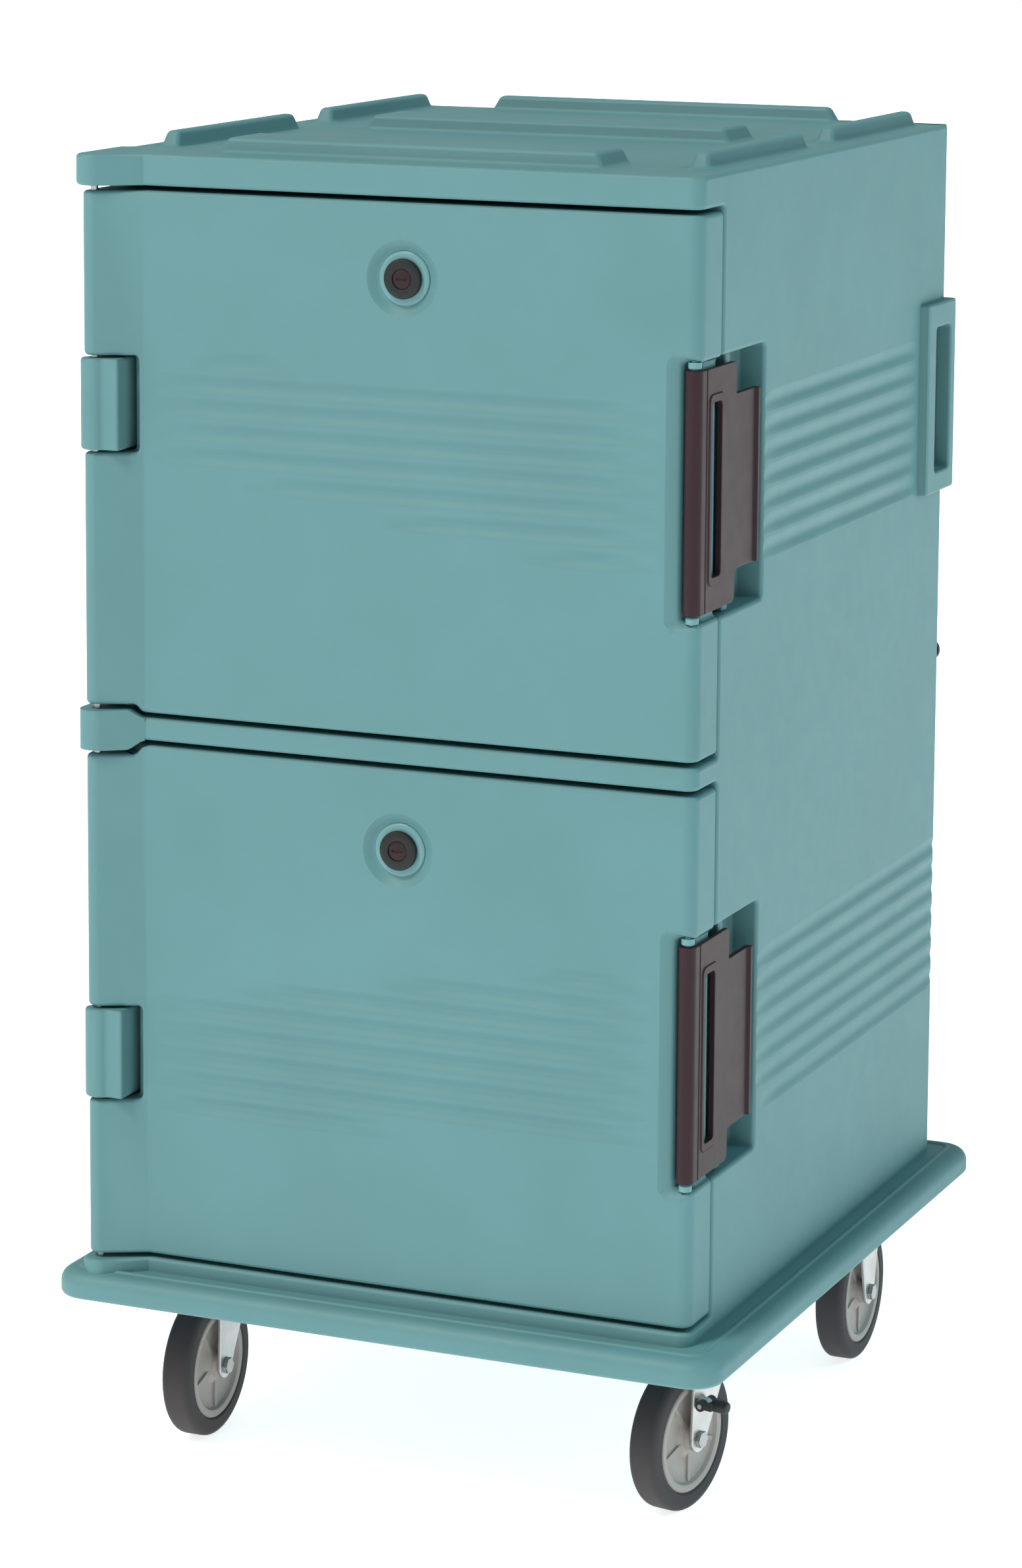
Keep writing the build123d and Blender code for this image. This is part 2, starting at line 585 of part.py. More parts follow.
    with BuildPart() as latch_pin:
        rod(LATCH_X, LATCH_Y, latch_z - pin_half, latch_z + pin_half, LATCH_PIN_RADIUS)
        for end in (-1, 1):
            tip = latch_z + end * LATCH_POCKET_HEIGHT / 2
            low, high = sorted((tip, tip - end * LATCH_BOSS_HEIGHT))
            rod(LATCH_X, LATCH_Y, low, high, LATCH_BOSS_RADIUS)
    save(latch_pin, "latch_pin_" + level)

    with BuildPart() as latch_handle:
        half = LATCH_HEIGHT / 2
        rod(LATCH_X, LATCH_Y, latch_z - half, latch_z + half, LATCH_BARREL_RADIUS)
        inner, outer = LATCH_PLATE_INNER, LATCH_PLATE_INNER + LATCH_PLATE
        block(inner, outer, LATCH_Y, LATCH_STEM_REAR, latch_z - half, latch_z + half)
        half = LATCH_PADDLE_HEIGHT / 2
        low, high = latch_z - half, latch_z + half
        block(inner, outer, LATCH_STEM_REAR, LATCH_PADDLE_REAR, low, high)
        grip_y = LATCH_PADDLE_REAR - LATCH_GRIP
        block(inner, outer + LATCH_GRIP / 2, grip_y, LATCH_PADDLE_REAR, low, high)
        lip_y = KEEPER_Y[1] + KEEPER_GAP
        block(LATCH_LIP_X + KEEPER_GAP, inner, lip_y, lip_y + 2 * LATCH_GRIP, low, high)
        half = LATCH_SLOT_HEIGHT / 2
        low, high = latch_z - half, latch_z + half
        block(inner - SKIN, outer + SKIN, *LATCH_SLOT_Y, low, high, Mode.SUBTRACT)
        bore = LATCH_PIN_RADIUS + RUNNING_GAP
        half = LATCH_HEIGHT / 2 + OVERCUT
        rod(LATCH_X, LATCH_Y, latch_z - half, latch_z + half, bore, Mode.SUBTRACT)
    save(latch_handle, "latch_handle_" + level)


# ---------------------------------------------------------------- casters
def fork_legs(x, y_top, y_axle, top_z):
    """Two fork cheeks tapering from the crown down to eyes round the axle."""
    for cheek in (-1, 1):
        start = x + cheek * FORK_INNER - (FORK_PLATE if cheek < 0 else 0)
        with BuildSketch(Plane.YZ.offset(start)) as leg:
            with BuildLine():
                shoulder = top_z - FORK_SHOULDER
                Polyline(
                    (y_top[0], top_z),
                    (y_top[1], top_z),
                    (y_top[1], shoulder),
                    (y_axle + FORK_EYE_RADIUS, WHEEL_RADIUS),
                    (y_axle - FORK_EYE_RADIUS, WHEEL_RADIUS),
                    (y_top[0], shoulder),
                    close=True,
                )
            make_face()
            with Locations((y_axle, WHEEL_RADIUS)):
                Circle(FORK_EYE_RADIUS)
        extrude(leg.sketch, amount=FORK_PLATE)
    cross_rod(x - 2 * FORK_INNER, x + 2 * FORK_INNER, y_axle, WHEEL_RADIUS, AXLE_RADIUS, Mode.SUBTRACT)


def mounting_plate(x, y):
    """Top plate of a caster with its four bolt holes."""
    width, depth, thickness = CASTER_PLATE
    with Locations((x, y, BASE_Z - thickness / 2)):
        Box(width, depth, thickness)
        with GridLocations(*BOLT_SPACING, 2, 2):
            Cylinder(BOLT_RADIUS, thickness, mode=Mode.SUBTRACT)


for name, (x, y) in CASTER_CENTRES.items():
    swivels = name.startswith("front")
    axle_y = y - CASTER_TRAIL if swivels else y
    turned = (SWIVEL_TURNS.get(name, 0.0), (x, y))

    pivot_x = x + BRAKE_PIVOT_OUT
    lug_y = (axle_y - BRAKE_LUG_HALF, axle_y + BRAKE_LUG_HALF)
    pin_y = (axle_y - BRAKE_HALF_WIDTH, axle_y + BRAKE_HALF_WIDTH)
    if swivels:
        with BuildPart() as caster_plate:
            mounting_plate(x, y)
            rod(x, y, RACEWAY_SPLIT_Z, PLATE_LOW_Z, RACEWAY_RADIUS)
            rod(x, y, KINGPIN_LOW_Z, RACEWAY_SPLIT_Z, KINGPIN_RADIUS)
        save(caster_plate, "caster_plate_" + name)

        with BuildPart() as fork:
            crown_top = CROWN_Z + CROWN_THICKNESS
            half = FORK_INNER + FORK_PLATE
            y_top = (y + CROWN_Y[0], y + CROWN_Y[1])
            block(x - half, x + half, *y_top, CROWN_Z, crown_top)
            rod(x, y, crown_top, RACEWAY_SPLIT_Z - RACEWAY_GAP, RACEWAY_RADIUS)
            fork_legs(x, y_top, axle_y, crown_top)
            bore = KINGPIN_RADIUS + RUNNING_GAP
            rod(x, y, KINGPIN_LOW_Z - OVERCUT, RACEWAY_SPLIT_Z, bore, Mode.SUBTRACT)
            if name == BRAKED:
                lug_z = (BRAKE_PIVOT_Z - BRAKE_EYE_RADIUS, BRAKE_PIVOT_Z + BRAKE_EYE_RADIUS)
                block(x + FORK_INNER + FORK_PLATE / 2, pivot_x, *lug_y, *lug_z)
                door_rod(pivot_x, BRAKE_PIVOT_Z, *lug_y, BRAKE_EYE_RADIUS)
                door_rod(pivot_x, BRAKE_PIVOT_Z, *pin_y, BRAKE_PIN_RADIUS)
        save(fork, "fork_" + name, *turned)

    if name == BRAKED:
        with BuildPart() as brake_lever:
            lug = BRAKE_LUG_HALF + KEEPER_GAP
            door_rod(pivot_x, BRAKE_PIVOT_Z, *pin_y, BRAKE_EYE_RADIUS)
            pad_z = (BRAKE_PIVOT_Z - BRAKE_PAD / 2, BRAKE_PIVOT_Z + BRAKE_PAD / 2)
            block(pivot_x, x + BRAKE_REACH, *pin_y, *pad_z)
            cut = (pivot_x - 2 * BRAKE_EYE_RADIUS, pivot_x + 2 * BRAKE_LUG_HALF)
            cut_z = (BRAKE_PIVOT_Z - 2 * BRAKE_EYE_RADIUS, BRAKE_PIVOT_Z + 2 * BRAKE_EYE_RADIUS)
            block(*cut, axle_y - lug, axle_y + lug, *cut_z, Mode.SUBTRACT)
            bore = BRAKE_PIN_RADIUS + RUNNING_GAP
            low, high = pin_y[0] - OVERCUT, pin_y[1] + OVERCUT
            door_rod(pivot_x, BRAKE_PIVOT_Z, low, high, bore, Mode.SUBTRACT)
        save(brake_lever, "brake_lever_" + name, *turned)

    if not swivels:
        with BuildPart() as rear_fork:
            mounting_plate(x, y)
            fork_legs(x, (y - REAR_LEG_HALF, y + REAR_LEG_HALF), y, PLATE_LOW_Z)
        save(rear_fork, "fork_" + name)

    with BuildPart() as axle:
        half = FORK_INNER + FORK_PLATE
        cross_rod(x - half, x + half, axle_y, WHEEL_RADIUS, AXLE_RADIUS)
        for end in (-1, 1):
            start = x + end * half
            cross_rod(start, start + end * AXLE_HEAD[1], axle_y, WHEEL_RADIUS, AXLE_HEAD[0])
    save(axle, "axle_" + name, *turned)

    with BuildPart() as hub:
        half = WHEEL_WIDTH / 2
        cross_rod(x - half, x + half, axle_y, WHEEL_RADIUS, WHEEL_HUB_RADIUS)
        inner, outer, dish = HUB_DISH
        for end in (-1, 1):
            face = x + end * half
            cross_rod(face, face - end * dish, axle_y, WHEEL_RADIUS, outer, Mode.SUBTRACT)
            cross_rod(face, face - end * dish, axle_y, WHEEL_RADIUS, inner)
        boss = HUB_BOSS_HALF
        cross_rod(x - boss, x + boss, axle_y, WHEEL_RADIUS, HUB_BOSS_RADIUS)
        bore = AXLE_RADIUS + RUNNING_GAP
        low, high = x - boss - OVERCUT, x + boss + OVERCUT
        cross_rod(low, high, axle_y, WHEEL_RADIUS, bore, Mode.SUBTRACT)
    save(hub, "hub_" + name, *turned)

    with BuildPart() as tread:
        half = WHEEL_WIDTH / 2
        cross_rod(x - half, x + half, axle_y, WHEEL_RADIUS, WHEEL_RADIUS)
        rims = tread.edges().filter_by(GeomType.CIRCLE)
        fillet(rims, TREAD_EDGE)
        low, high = x - half - OVERCUT, x + half + OVERCUT
        cross_rod(low, high, axle_y, WHEEL_RADIUS, WHEEL_HUB_RADIUS, Mode.SUBTRACT)
    save(tread, "tread_" + name, *turned)

with BuildPart() as caster_bolts:
    for x, y in CASTER_CENTRES.values():
        with Locations((x, y, PLATE_LOW_Z)):
            with GridLocations(*BOLT_SPACING, 2, 2):
                Cylinder(BOLT_RADIUS, CASTER_PLATE[2] + SKIN, align=(Align.CENTER, Align.CENTER, Align.MIN))
                Cylinder(BOLT_HEAD[0], BOLT_HEAD[1], align=(Align.CENTER, Align.CENTER, Align.MAX))
save(caster_bolts, "caster_bolts")
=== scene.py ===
"""Looks of the insulated food carrier: moulded shell, doors, latches, handles and casters.

Meshes are built in millimetres in the row frame and scaled to metres when they are finished.
"""

import json
from math import atan2, cos, pi, radians, sin, sqrt

import bmesh
import bpy
from mathutils import Matrix, Vector


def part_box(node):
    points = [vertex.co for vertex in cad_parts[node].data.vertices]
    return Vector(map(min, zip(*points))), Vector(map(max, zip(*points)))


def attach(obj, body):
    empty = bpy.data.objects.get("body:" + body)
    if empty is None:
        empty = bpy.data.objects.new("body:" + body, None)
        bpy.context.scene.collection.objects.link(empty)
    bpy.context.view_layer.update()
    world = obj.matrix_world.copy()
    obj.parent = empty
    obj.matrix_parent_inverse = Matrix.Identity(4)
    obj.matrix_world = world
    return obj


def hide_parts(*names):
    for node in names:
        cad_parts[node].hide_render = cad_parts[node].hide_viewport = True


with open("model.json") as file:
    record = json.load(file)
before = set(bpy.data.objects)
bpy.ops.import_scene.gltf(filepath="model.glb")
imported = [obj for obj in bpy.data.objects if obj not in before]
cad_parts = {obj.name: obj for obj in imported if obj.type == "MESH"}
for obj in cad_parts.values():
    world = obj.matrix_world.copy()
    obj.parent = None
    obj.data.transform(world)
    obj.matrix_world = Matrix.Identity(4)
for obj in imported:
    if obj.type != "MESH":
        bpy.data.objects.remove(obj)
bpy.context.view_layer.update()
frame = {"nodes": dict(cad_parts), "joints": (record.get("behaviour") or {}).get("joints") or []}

MM = 0.001
LEVELS = ("upper", "lower")
ARC_STEPS = 8


# ---------------------------------------------------------------- sizes from the frame
def span(node):
    """Lowest and highest corner of a CAD node, in millimetres."""
    low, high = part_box(node)
    return low / MM, high / MM


def joint_place(name):
    """Point on a joint's axis, in millimetres."""
    for joint in frame["joints"]:
        if joint["name"] == name:
            return Vector(joint["pos_m"]) / MM
    raise ValueError("no joint named " + name)


HINGE = joint_place("door_upper_hinge")
LATCH = {level: joint_place("latch_" + level + "_hinge") for level in LEVELS}
VENT = {level: joint_place("vent_" + level + "_turn") for level in LEVELS}
DOOR = {level: span("door_shell_" + level) for level in LEVELS}
LINER = {level: span("liner_" + level) for level in LEVELS}
PANEL = {level: span("door_panel_" + level) for level in LEVELS}
KNUCKLE = {level: span("hinge_knuckle_" + level) for level in LEVELS}
KEEPER = {level: span("latch_keeper_" + level) for level in LEVELS}
SHELL = span("outer_shell")
GRIP = span("side_handle_right")

DOOR_LEFT = DOOR["upper"][0].x
BODY_X = DOOR["upper"][1].x
DOOR_BACK = DOOR["upper"][1].y
BODY_FRONT = LINER["upper"][0].y
BARREL_R = HINGE.x - DOOR_LEFT
LID_R = 18.0
DOOR_FACE = BODY_FRONT - 62.0
BODY_REAR = GRIP[1].y - 4.0
DECK_Z = SHELL[1].z - 16.0
BASE_Z = SHELL[0].z
LEDGE_Z = BASE_Z + 30.0
SILL_Z = DOOR["lower"][0].z - 4.5
RAIL = (DOOR["lower"][1].z + 5.5, DOOR["upper"][0].z - 5.5)
LID_Z = DOOR["upper"][1].z + 5.0
CREASE_X = HINGE.x + 49.0
SLOT_Y = (GRIP[1].y - 66.0, GRIP[1].y - 16.0)
SLOT_Z = (GRIP[0].z + 23.0, GRIP[1].z - 27.0)
EDGE_R = 4.5


# ---------------------------------------------------------------- mesh helpers
def new_object(name, verts, faces):
    """Mesh object from points and faces, with its normals turned outwards."""
    mesh = bpy.data.meshes.new(name)
    mesh.from_pydata([tuple(v) for v in verts], [], faces)
    work = bmesh.new()
    work.from_mesh(mesh)
    bmesh.ops.remove_doubles(work, verts=work.verts, dist=1e-4)
    bmesh.ops.recalc_face_normals(work, faces=work.faces)
    work.to_mesh(mesh)
    work.free()
    obj = bpy.data.objects.new(name, mesh)
    bpy.context.scene.collection.objects.link(obj)
    return obj


def prism(outline, low, high, axis="Z"):
    """Solid of one outline. Its points are (x, y) for Z, (y, z) for X and (x, z) for Y."""
    place = {
        "Z": lambda p, h: (p[0], p[1], h),
        "X": lambda p, h: (h, p[0], p[1]),
        "Y": lambda p, h: (p[0], h, p[1]),
    }[axis]
    count = len(outline)
    verts = [place(p, low) for p in outline] + [place(p, high) for p in outline]
    faces = [tuple(range(count)), tuple(range(2 * count - 1, count - 1, -1))]
    for i in range(count):
        j = (i + 1) % count
        faces.append((i, j, count + j, count + i))
    return new_object("prism", verts, faces)


def box(x0, x1, y0, y1, z0, z1):
    """Box between two corners."""
    return prism([(x0, y0), (x1, y0), (x1, y1), (x0, y1)], z0, z1)


def lathe(centre, axis, profile, segments=64):
    """Closed solid turned about a line through centre. The profile is (radius, distance) points."""
    rings = []
    for radius, along in profile:
        ring = []
        for k in range(segments):
            a = 2 * pi * k / segments
            u, v = radius * cos(a), radius * sin(a)
            point = {"X": (along, u, v), "Y": (u, along, v), "Z": (u, v, along)}[axis]
            ring.append(Vector(centre) + Vector(point))
        rings.append(ring)
    verts = [p for ring in rings for p in ring]
    faces = []
    for r in range(len(rings)):
        s = (r + 1) % len(rings)
        closes_on_axis = profile[r][0] < 1e-6 and profile[s][0] < 1e-6
        if closes_on_axis:
            continue
        for k in range(segments):
            n = (k + 1) % segments
            faces.append((r * segments + k, r * segments + n, s * segments + n, s * segments + k))
    return new_object("lathe", verts, faces)


def rod(centre, axis, low, high, radius, segments=48):
    """Cylinder from low to high along an axis through centre."""
    profile = [(0, low), (radius, low), (radius, high), (0, high)]
    return lathe(centre, axis, profile, segments)


def apply_modifiers(obj):
    """Makes the modifiers' result the object's own mesh."""
    graph = bpy.context.evaluated_depsgraph_get()
    mesh = bpy.data.meshes.new_from_object(obj.evaluated_get(graph))
    obj.modifiers.clear()
    obj.data = mesh
    return obj


def combine(obj, others, operation="UNION", solver="EXACT"):
    """Adds the other solids to obj or takes them out of it, and removes them.

    The MANIFOLD solver keeps a door closed after its edges are rounded.
    """
    for other in others:
        modifier = obj.modifiers.new("combine", "BOOLEAN")
        modifier.object = other
        modifier.operation = operation
        modifier.solver = solver
        apply_modifiers(obj)
        bpy.data.objects.remove(other)
    return obj


def cut(obj, *others, solver="EXACT"):
    """Takes the other solids out of obj."""
    return combine(obj, others, "DIFFERENCE", solver)


def join(objects):
    """Several separate solids as one mesh."""
    work = bmesh.new()
    for o in objects:
        work.from_mesh(o.data)
    work.to_mesh(objects[0].data)
    work.free()
    for o in objects[1:]:
        bpy.data.objects.remove(o)
    return objects[0]


def merge_flats(obj):
    """Joins faces that lie in one plane."""
    work = bmesh.new()
    work.from_mesh(obj.data)
    bmesh.ops.remove_doubles(work, verts=work.verts, dist=1e-3)
    bmesh.ops.dissolve_limit(
        work, angle_limit=radians(0.4), verts=work.verts, edges=work.edges, use_dissolve_boundaries=False
    )
    work.to_mesh(obj.data)
    work.free()
    return obj


def round_edges(obj, width, segments=4, angle=36):
    """Rounds every edge sharper than the angle."""
    merge_flats(obj)
    modifier = obj.modifiers.new("round", "BEVEL")
    modifier.width = width
    modifier.segments = segments
    modifier.limit_method = "ANGLE"
    modifier.angle_limit = radians(angle)
    modifier.use_clamp_overlap = False
    modifier.miter_outer = "MITER_ARC"
    return apply_modifiers(obj)


def finish_piece(obj, name, body, material, replaces=(), sharp=28):
    """Names, scales, shades and places a finished piece on its body."""
    obj.name = name
    obj.data.name = name
    obj.data.transform(Matrix.Scale(MM, 4))
    work = bmesh.new()
    work.from_mesh(obj.data)
    for face in work.faces:
        face.smooth = True
    for edge in work.edges:
        edge.smooth = len(edge.link_faces) == 2 and edge.calc_face_angle() < radians(sharp)
    work.to_mesh(obj.data)
    work.free()
    modifier = obj.modifiers.new("normals", "WEIGHTED_NORMAL")
    modifier.keep_sharp = True
    apply_modifiers(obj)
    obj.data.materials.clear()
    obj.data.materials.append(material)
    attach(obj, body)
    if replaces:
        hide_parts(*replaces)
    return obj


# ---------------------------------------------------------------- outlines
def arc(centre, radius, start, end, steps=ARC_STEPS):
    """Points on an arc, angles in degrees."""
    points = []
    for k in range(steps + 1):
        a = radians(start + (end - start) * k / steps)
        points.append((centre[0] + radius * cos(a), centre[1] + radius * sin(a)))
    return points


def rounded_rectangle(x0, x1, y0, y1, radius, steps=ARC_STEPS):
    """Outline of a rectangle with rounded corners."""
    points = arc((x1 - radius, y1 - radius), radius, 0, 90, steps)
    points += arc((x0 + radius, y1 - radius), radius, 90, 180, steps)
    points += arc((x0 + radius, y0 + radius), radius, 180, 270, steps)
    points += arc((x1 - radius, y0 + radius), radius, 270, 360, steps)
    return points


def front_plan(back, hinge_r, corner=14.0):
    """Plan of a door, lid, rail or sill: flared hinge corner left, rounded corner right."""
    dx, dy = CREASE_X - HINGE.x, DOOR_FACE - HINGE.y
    reach = sqrt(dx * dx + dy * dy - hinge_r * hinge_r)
    tangent = atan2(dy, dx) - atan2(reach, hinge_r)
    points = arc((HINGE.x, HINGE.y), hinge_r, 180, 360 + tangent * 180 / pi, 2 * ARC_STEPS)
    points.append((CREASE_X, DOOR_FACE))
    points += arc((BODY_X - corner, DOOR_FACE + corner), corner, 270, 360)
    points += [(BODY_X, back), (HINGE.x - hinge_r, back)]
    return points


# ---------------------------------------------------------------- soft flutes
FLUTE_HALF = 12.1
FLUTE_DEPTH = 4.6
WALL_FLUTE_DEPTH = 3.0
FLUTE_FADE = 75.0
UPPER_ROWS = (1142.0, 1118.0, 1093.0, 1069.0)
LOWER_ROWS = (501.0, 475.0, 449.0, 424.0)


def flute(wall, outward, start, end, level_z, axis, fade=(FLUTE_FADE, FLUTE_FADE), sunk=FLUTE_DEPTH):
    """Cutter of one shallow flute in a flat wall, running out softly at both ends."""
    lift = 0.08
    across = 14
    stations = 14
    length = end - start
    rows = []
    for i in range(stations + 1):
        t = (1 - cos(pi * i / stations)) / 2
        along = start + length * t
        fade_in = min(1.0, (along - start) / fade[0]) if fade[0] else 1.0
        fade_out = min(1.0, (end - along) / fade[1]) if fade[1] else 1.0
        depth = sunk * sin(pi / 2 * min(fade_in, fade_out))
        row = []
        for j in range(across + 1):
            v = 2 * j / across - 1
            sink = (depth + lift) * (1 + cos(pi * v)) / 2 - lift
            row.append((along, wall - outward * sink, level_z + FLUTE_HALF * v))
        row.append((along, wall + outward * 4, level_z + FLUTE_HALF))
        row.append((along, wall + outward * 4, level_z - FLUTE_HALF))
        rows.append(row)
    if axis == "Y":
        rows = [[(p[1], p[0], p[2]) for p in row] for row in rows]
    count = len(rows[0])
    verts = [p for row in rows for p in row]
    faces = [tuple(range(count)), tuple(range(stations * count + count - 1, stations * count - 1, -1))]
    for i in range(stations):
        for j in range(count):
            n = (j + 1) % count
            faces.append((i * count + j, i * count + n, (i + 1) * count + n, (i + 1) * count + j))
    return new_object("flute", verts, faces)


# ---------------------------------------------------------------- materials
def shader(name):
    """New material with its node tree, principled shader and object coordinates."""
    material = bpy.data.materials.new(name)
    material.use_nodes = True
    nodes, links = material.node_tree.nodes, material.node_tree.links
    bsdf = nodes["Principled BSDF"]
    place = nodes.new("ShaderNodeTexCoord")
    return material, nodes, links, bsdf, place.outputs["Object"]


def noise(nodes, links, place, scale, detail=3.0, rough=0.5, stretch=None):
    """Noise texture in object space."""
    texture = nodes.new("ShaderNodeTexNoise")
    texture.inputs["Scale"].default_value = scale
    texture.inputs["Detail"].default_value = detail
    texture.inputs["Roughness"].default_value = rough
    if stretch:
        mapping = nodes.new("ShaderNodeMapping")
        mapping.inputs["Scale"].default_value = stretch
        links.new(place, mapping.inputs["Vector"])
        place = mapping.outputs["Vector"]
    links.new(place, texture.inputs["Vector"])
    return texture.outputs["Fac"]


def ramp(nodes, links, source, stops):
    """Colour ramp fed by a value."""
    node = nodes.new("ShaderNodeValToRGB")
    elements = node.color_ramp.elements
    while len(elements) < len(stops):
        elements.new(0.5)
    for element, (position, colour) in zip(elements, stops):
        element.position = position
        element.color = (*colour, 1.0)
    links.new(source, node.inputs["Fac"])
    return node.outputs["Color"]


def spread(nodes, links, source, low, high):
    """Value mapped from 0..1 to a range."""
    node = nodes.new("ShaderNodeMapRange")
    node.inputs["To Min"].default_value = low
    node.inputs["To Max"].default_value = high
    links.new(source, node.inputs["Value"])
    return node.outputs["Result"]


def relief(nodes, links, bsdf, layers):
    """Stack of bumps: (height, strength, distance in metres)."""
    previous = None
    for height, strength, distance in layers:
        bump = nodes.new("ShaderNodeBump")
        bump.inputs["Strength"].default_value = strength
        bump.inputs["Distance"].default_value = distance
        links.new(height, bump.inputs["Height"])
        if previous:
            links.new(previous, bump.inputs["Normal"])
        previous = bump.outputs["Normal"]
    links.new(previous, bsdf.inputs["Normal"])


def scaled(colour, factor):
    return tuple(min(1.0, c * factor) for c in colour)


def plastic(
    name, colour, roughness=(0.46, 0.6), grain=900.0, grain_depth=0.00010, mottling=0.06, specular=0.28
):
    """Moulded plastic: cloudy colour, fine orange-peel grain and uneven sheen."""
    material, nodes, links, bsdf, place = shader(name)
    cloud = noise(nodes, links, place, 7.0, 4.0, 0.55)
    stops = [(0.3, scaled(colour, 1 - mottling)), (0.5, colour), (0.7, scaled(colour, 1 + mottling))]
    links.new(ramp(nodes, links, cloud, stops), bsdf.inputs["Base Color"])
    sheen = noise(nodes, links, place, 45.0, 5.0, 0.6)
    links.new(spread(nodes, links, sheen, *roughness), bsdf.inputs["Roughness"])
    bsdf.inputs["Specular IOR Level"].default_value = specular
    fine = noise(nodes, links, place, grain, 2.0, 0.5)
    broad = noise(nodes, links, place, 22.0, 2.0, 0.4)
    relief(nodes, links, bsdf, [(broad, 0.25, 0.0008), (fine, 0.35, grain_depth)])
    return material


def metal(name, colour, roughness=(0.28, 0.45), stretch=(1.0, 1.0, 12.0), scale=60.0):
    """Plated or bare steel with faint drawn streaks and cloudy plating."""
    material, nodes, links, bsdf, place = shader(name)
    bsdf.inputs["Metallic"].default_value = 0.9
    cloud = noise(nodes, links, place, 30.0, 4.0, 0.6)
    stops = [(0.3, scaled(colour, 0.86)), (0.55, colour), (0.75, scaled(colour, 1.1))]
    links.new(ramp(nodes, links, cloud, stops), bsdf.inputs["Base Color"])
    streak = noise(nodes, links, place, scale, 5.0, 0.6, stretch)
    links.new(spread(nodes, links, streak, *roughness), bsdf.inputs["Roughness"])
    relief(nodes, links, bsdf, [(streak, 0.12, 0.00012)])
    return material


def rubber(name, colour, roughness=(0.62, 0.8)):
    """Rubber or soft polyurethane with a dusty, slightly scuffed surface."""
    material, nodes, links, bsdf, place = shader(name)
    dust = noise(nodes, links, place, 60.0, 6.0, 0.65)
    stops = [(0.35, scaled(colour, 0.85)), (0.6, colour), (0.78, scaled(colour, 1.25))]
    links.new(ramp(nodes, links, dust, stops), bsdf.inputs["Base Color"])
    links.new(spread(nodes, links, dust, *roughness), bsdf.inputs["Roughness"])
    fine = noise(nodes, links, place, 1400.0, 2.0, 0.5)
    relief(nodes, links, bsdf, [(fine, 0.3, 0.00012)])
    return material


def foamed(name, colour):
    """Cut rigid foam: small cells."""
    material, nodes, links, bsdf, place = shader(name)
    cells = nodes.new("ShaderNodeTexVoronoi")
    cells.inputs["Scale"].default_value = 900.0
    links.new(place, cells.inputs["Vector"])
    stops = [(0.0, scaled(colour, 0.8)), (0.5, colour)]
    links.new(ramp(nodes, links, cells.outputs["Distance"], stops), bsdf.inputs["Base Color"])
    bsdf.inputs["Roughness"].default_value = 0.9
    relief(nodes, links, bsdf, [(cells.outputs["Distance"], 0.5, 0.0004)])
    return material


TEAL = plastic("teal_shell", (0.105, 0.236, 0.254), mottling=0.035)
TEAL_LINER = plastic("teal_liner", (0.125, 0.275, 0.290), roughness=(0.35, 0.45), grain=1300.0)
TEAL_RING = plastic("teal_ring", (0.135, 0.29, 0.31), roughness=(0.3, 0.4))
MAROON = plastic(
    "maroon_nylon", (0.026, 0.0105, 0.0145), roughness=(0.4, 0.52), grain=1500.0, mottling=0.12, specular=0.22
)
NEAR_BLACK = plastic("vent_black", (0.012, 0.014, 0.015), roughness=(0.35, 0.5), grain=1500.0)
HUB_GREY = plastic("hub_grey", (0.36, 0.32, 0.305), roughness=(0.4, 0.55), grain=1500.0, mottling=0.1)
BRAKE_BLACK = plastic("brake_black", (0.03, 0.03, 0.033), roughness=(0.4, 0.5), grain=1500.0)
TREAD_GREY = rubber("tread_grey", (0.036, 0.030, 0.033))
SEAL_BLACK = rubber("seal_black", (0.02, 0.02, 0.02))
ZINC = metal("zinc_steel", (0.60, 0.585, 0.58))
PIN_STEEL = metal("pin_steel", (0.42, 0.42, 0.42), roughness=(0.2, 0.32))
BOLT_STEEL = metal("bolt_steel", (0.42, 0.42, 0.42))
FOAM = foamed("insulation_foam", (0.78, 0.70, 0.46))


# ---------------------------------------------------------------- cabinet shell
def base_slab():
    """Base with its round-edged bumper and the low bead on its ledge."""
    half_x, half_y = SHELL[1].x, SHELL[1].y
    top_r, low_r = 14.0, 6.0
    ledge = LEDGE_Z - 2.0
    profile = []
    for a in range(0, 91, 15):
        profile.append((low_r * (1 - sin(radians(a))), BASE_Z + low_r * (1 - cos(radians(a)))))
    for a in range(0, 91, 11):
        profile.append((top_r * (1 - cos(radians(a))), ledge - top_r + top_r * sin(radians(a))))
    profile += [(19.0, LEDGE_Z - 1.6), (21.0, LEDGE_Z), (23.5, LEDGE_Z), (26.0, ledge), (60.0, ledge)]
    rings = []
    for inset, z in profile:
        radius = max(34.0 - inset, 8.0)
        x, y = half_x - inset, half_y - inset
        outline = rounded_rectangle(-x, x, -y, y, radius)
        rings.append([(x, y, z) for x, y in outline])
    count = len(rings[0])
    verts = [p for ring in rings for p in ring]
    last = (len(rings) - 1) * count
    faces = [tuple(range(count)), tuple(range(last + count - 1, last - 1, -1))]
    for r in range(len(rings) - 1):
        for k in range(count):
            n = (k + 1) % count
            faces.append((r * count + k, r * count + n, (r + 1) * count + n, (r + 1) * count + k))
    return new_object("base", verts, faces)


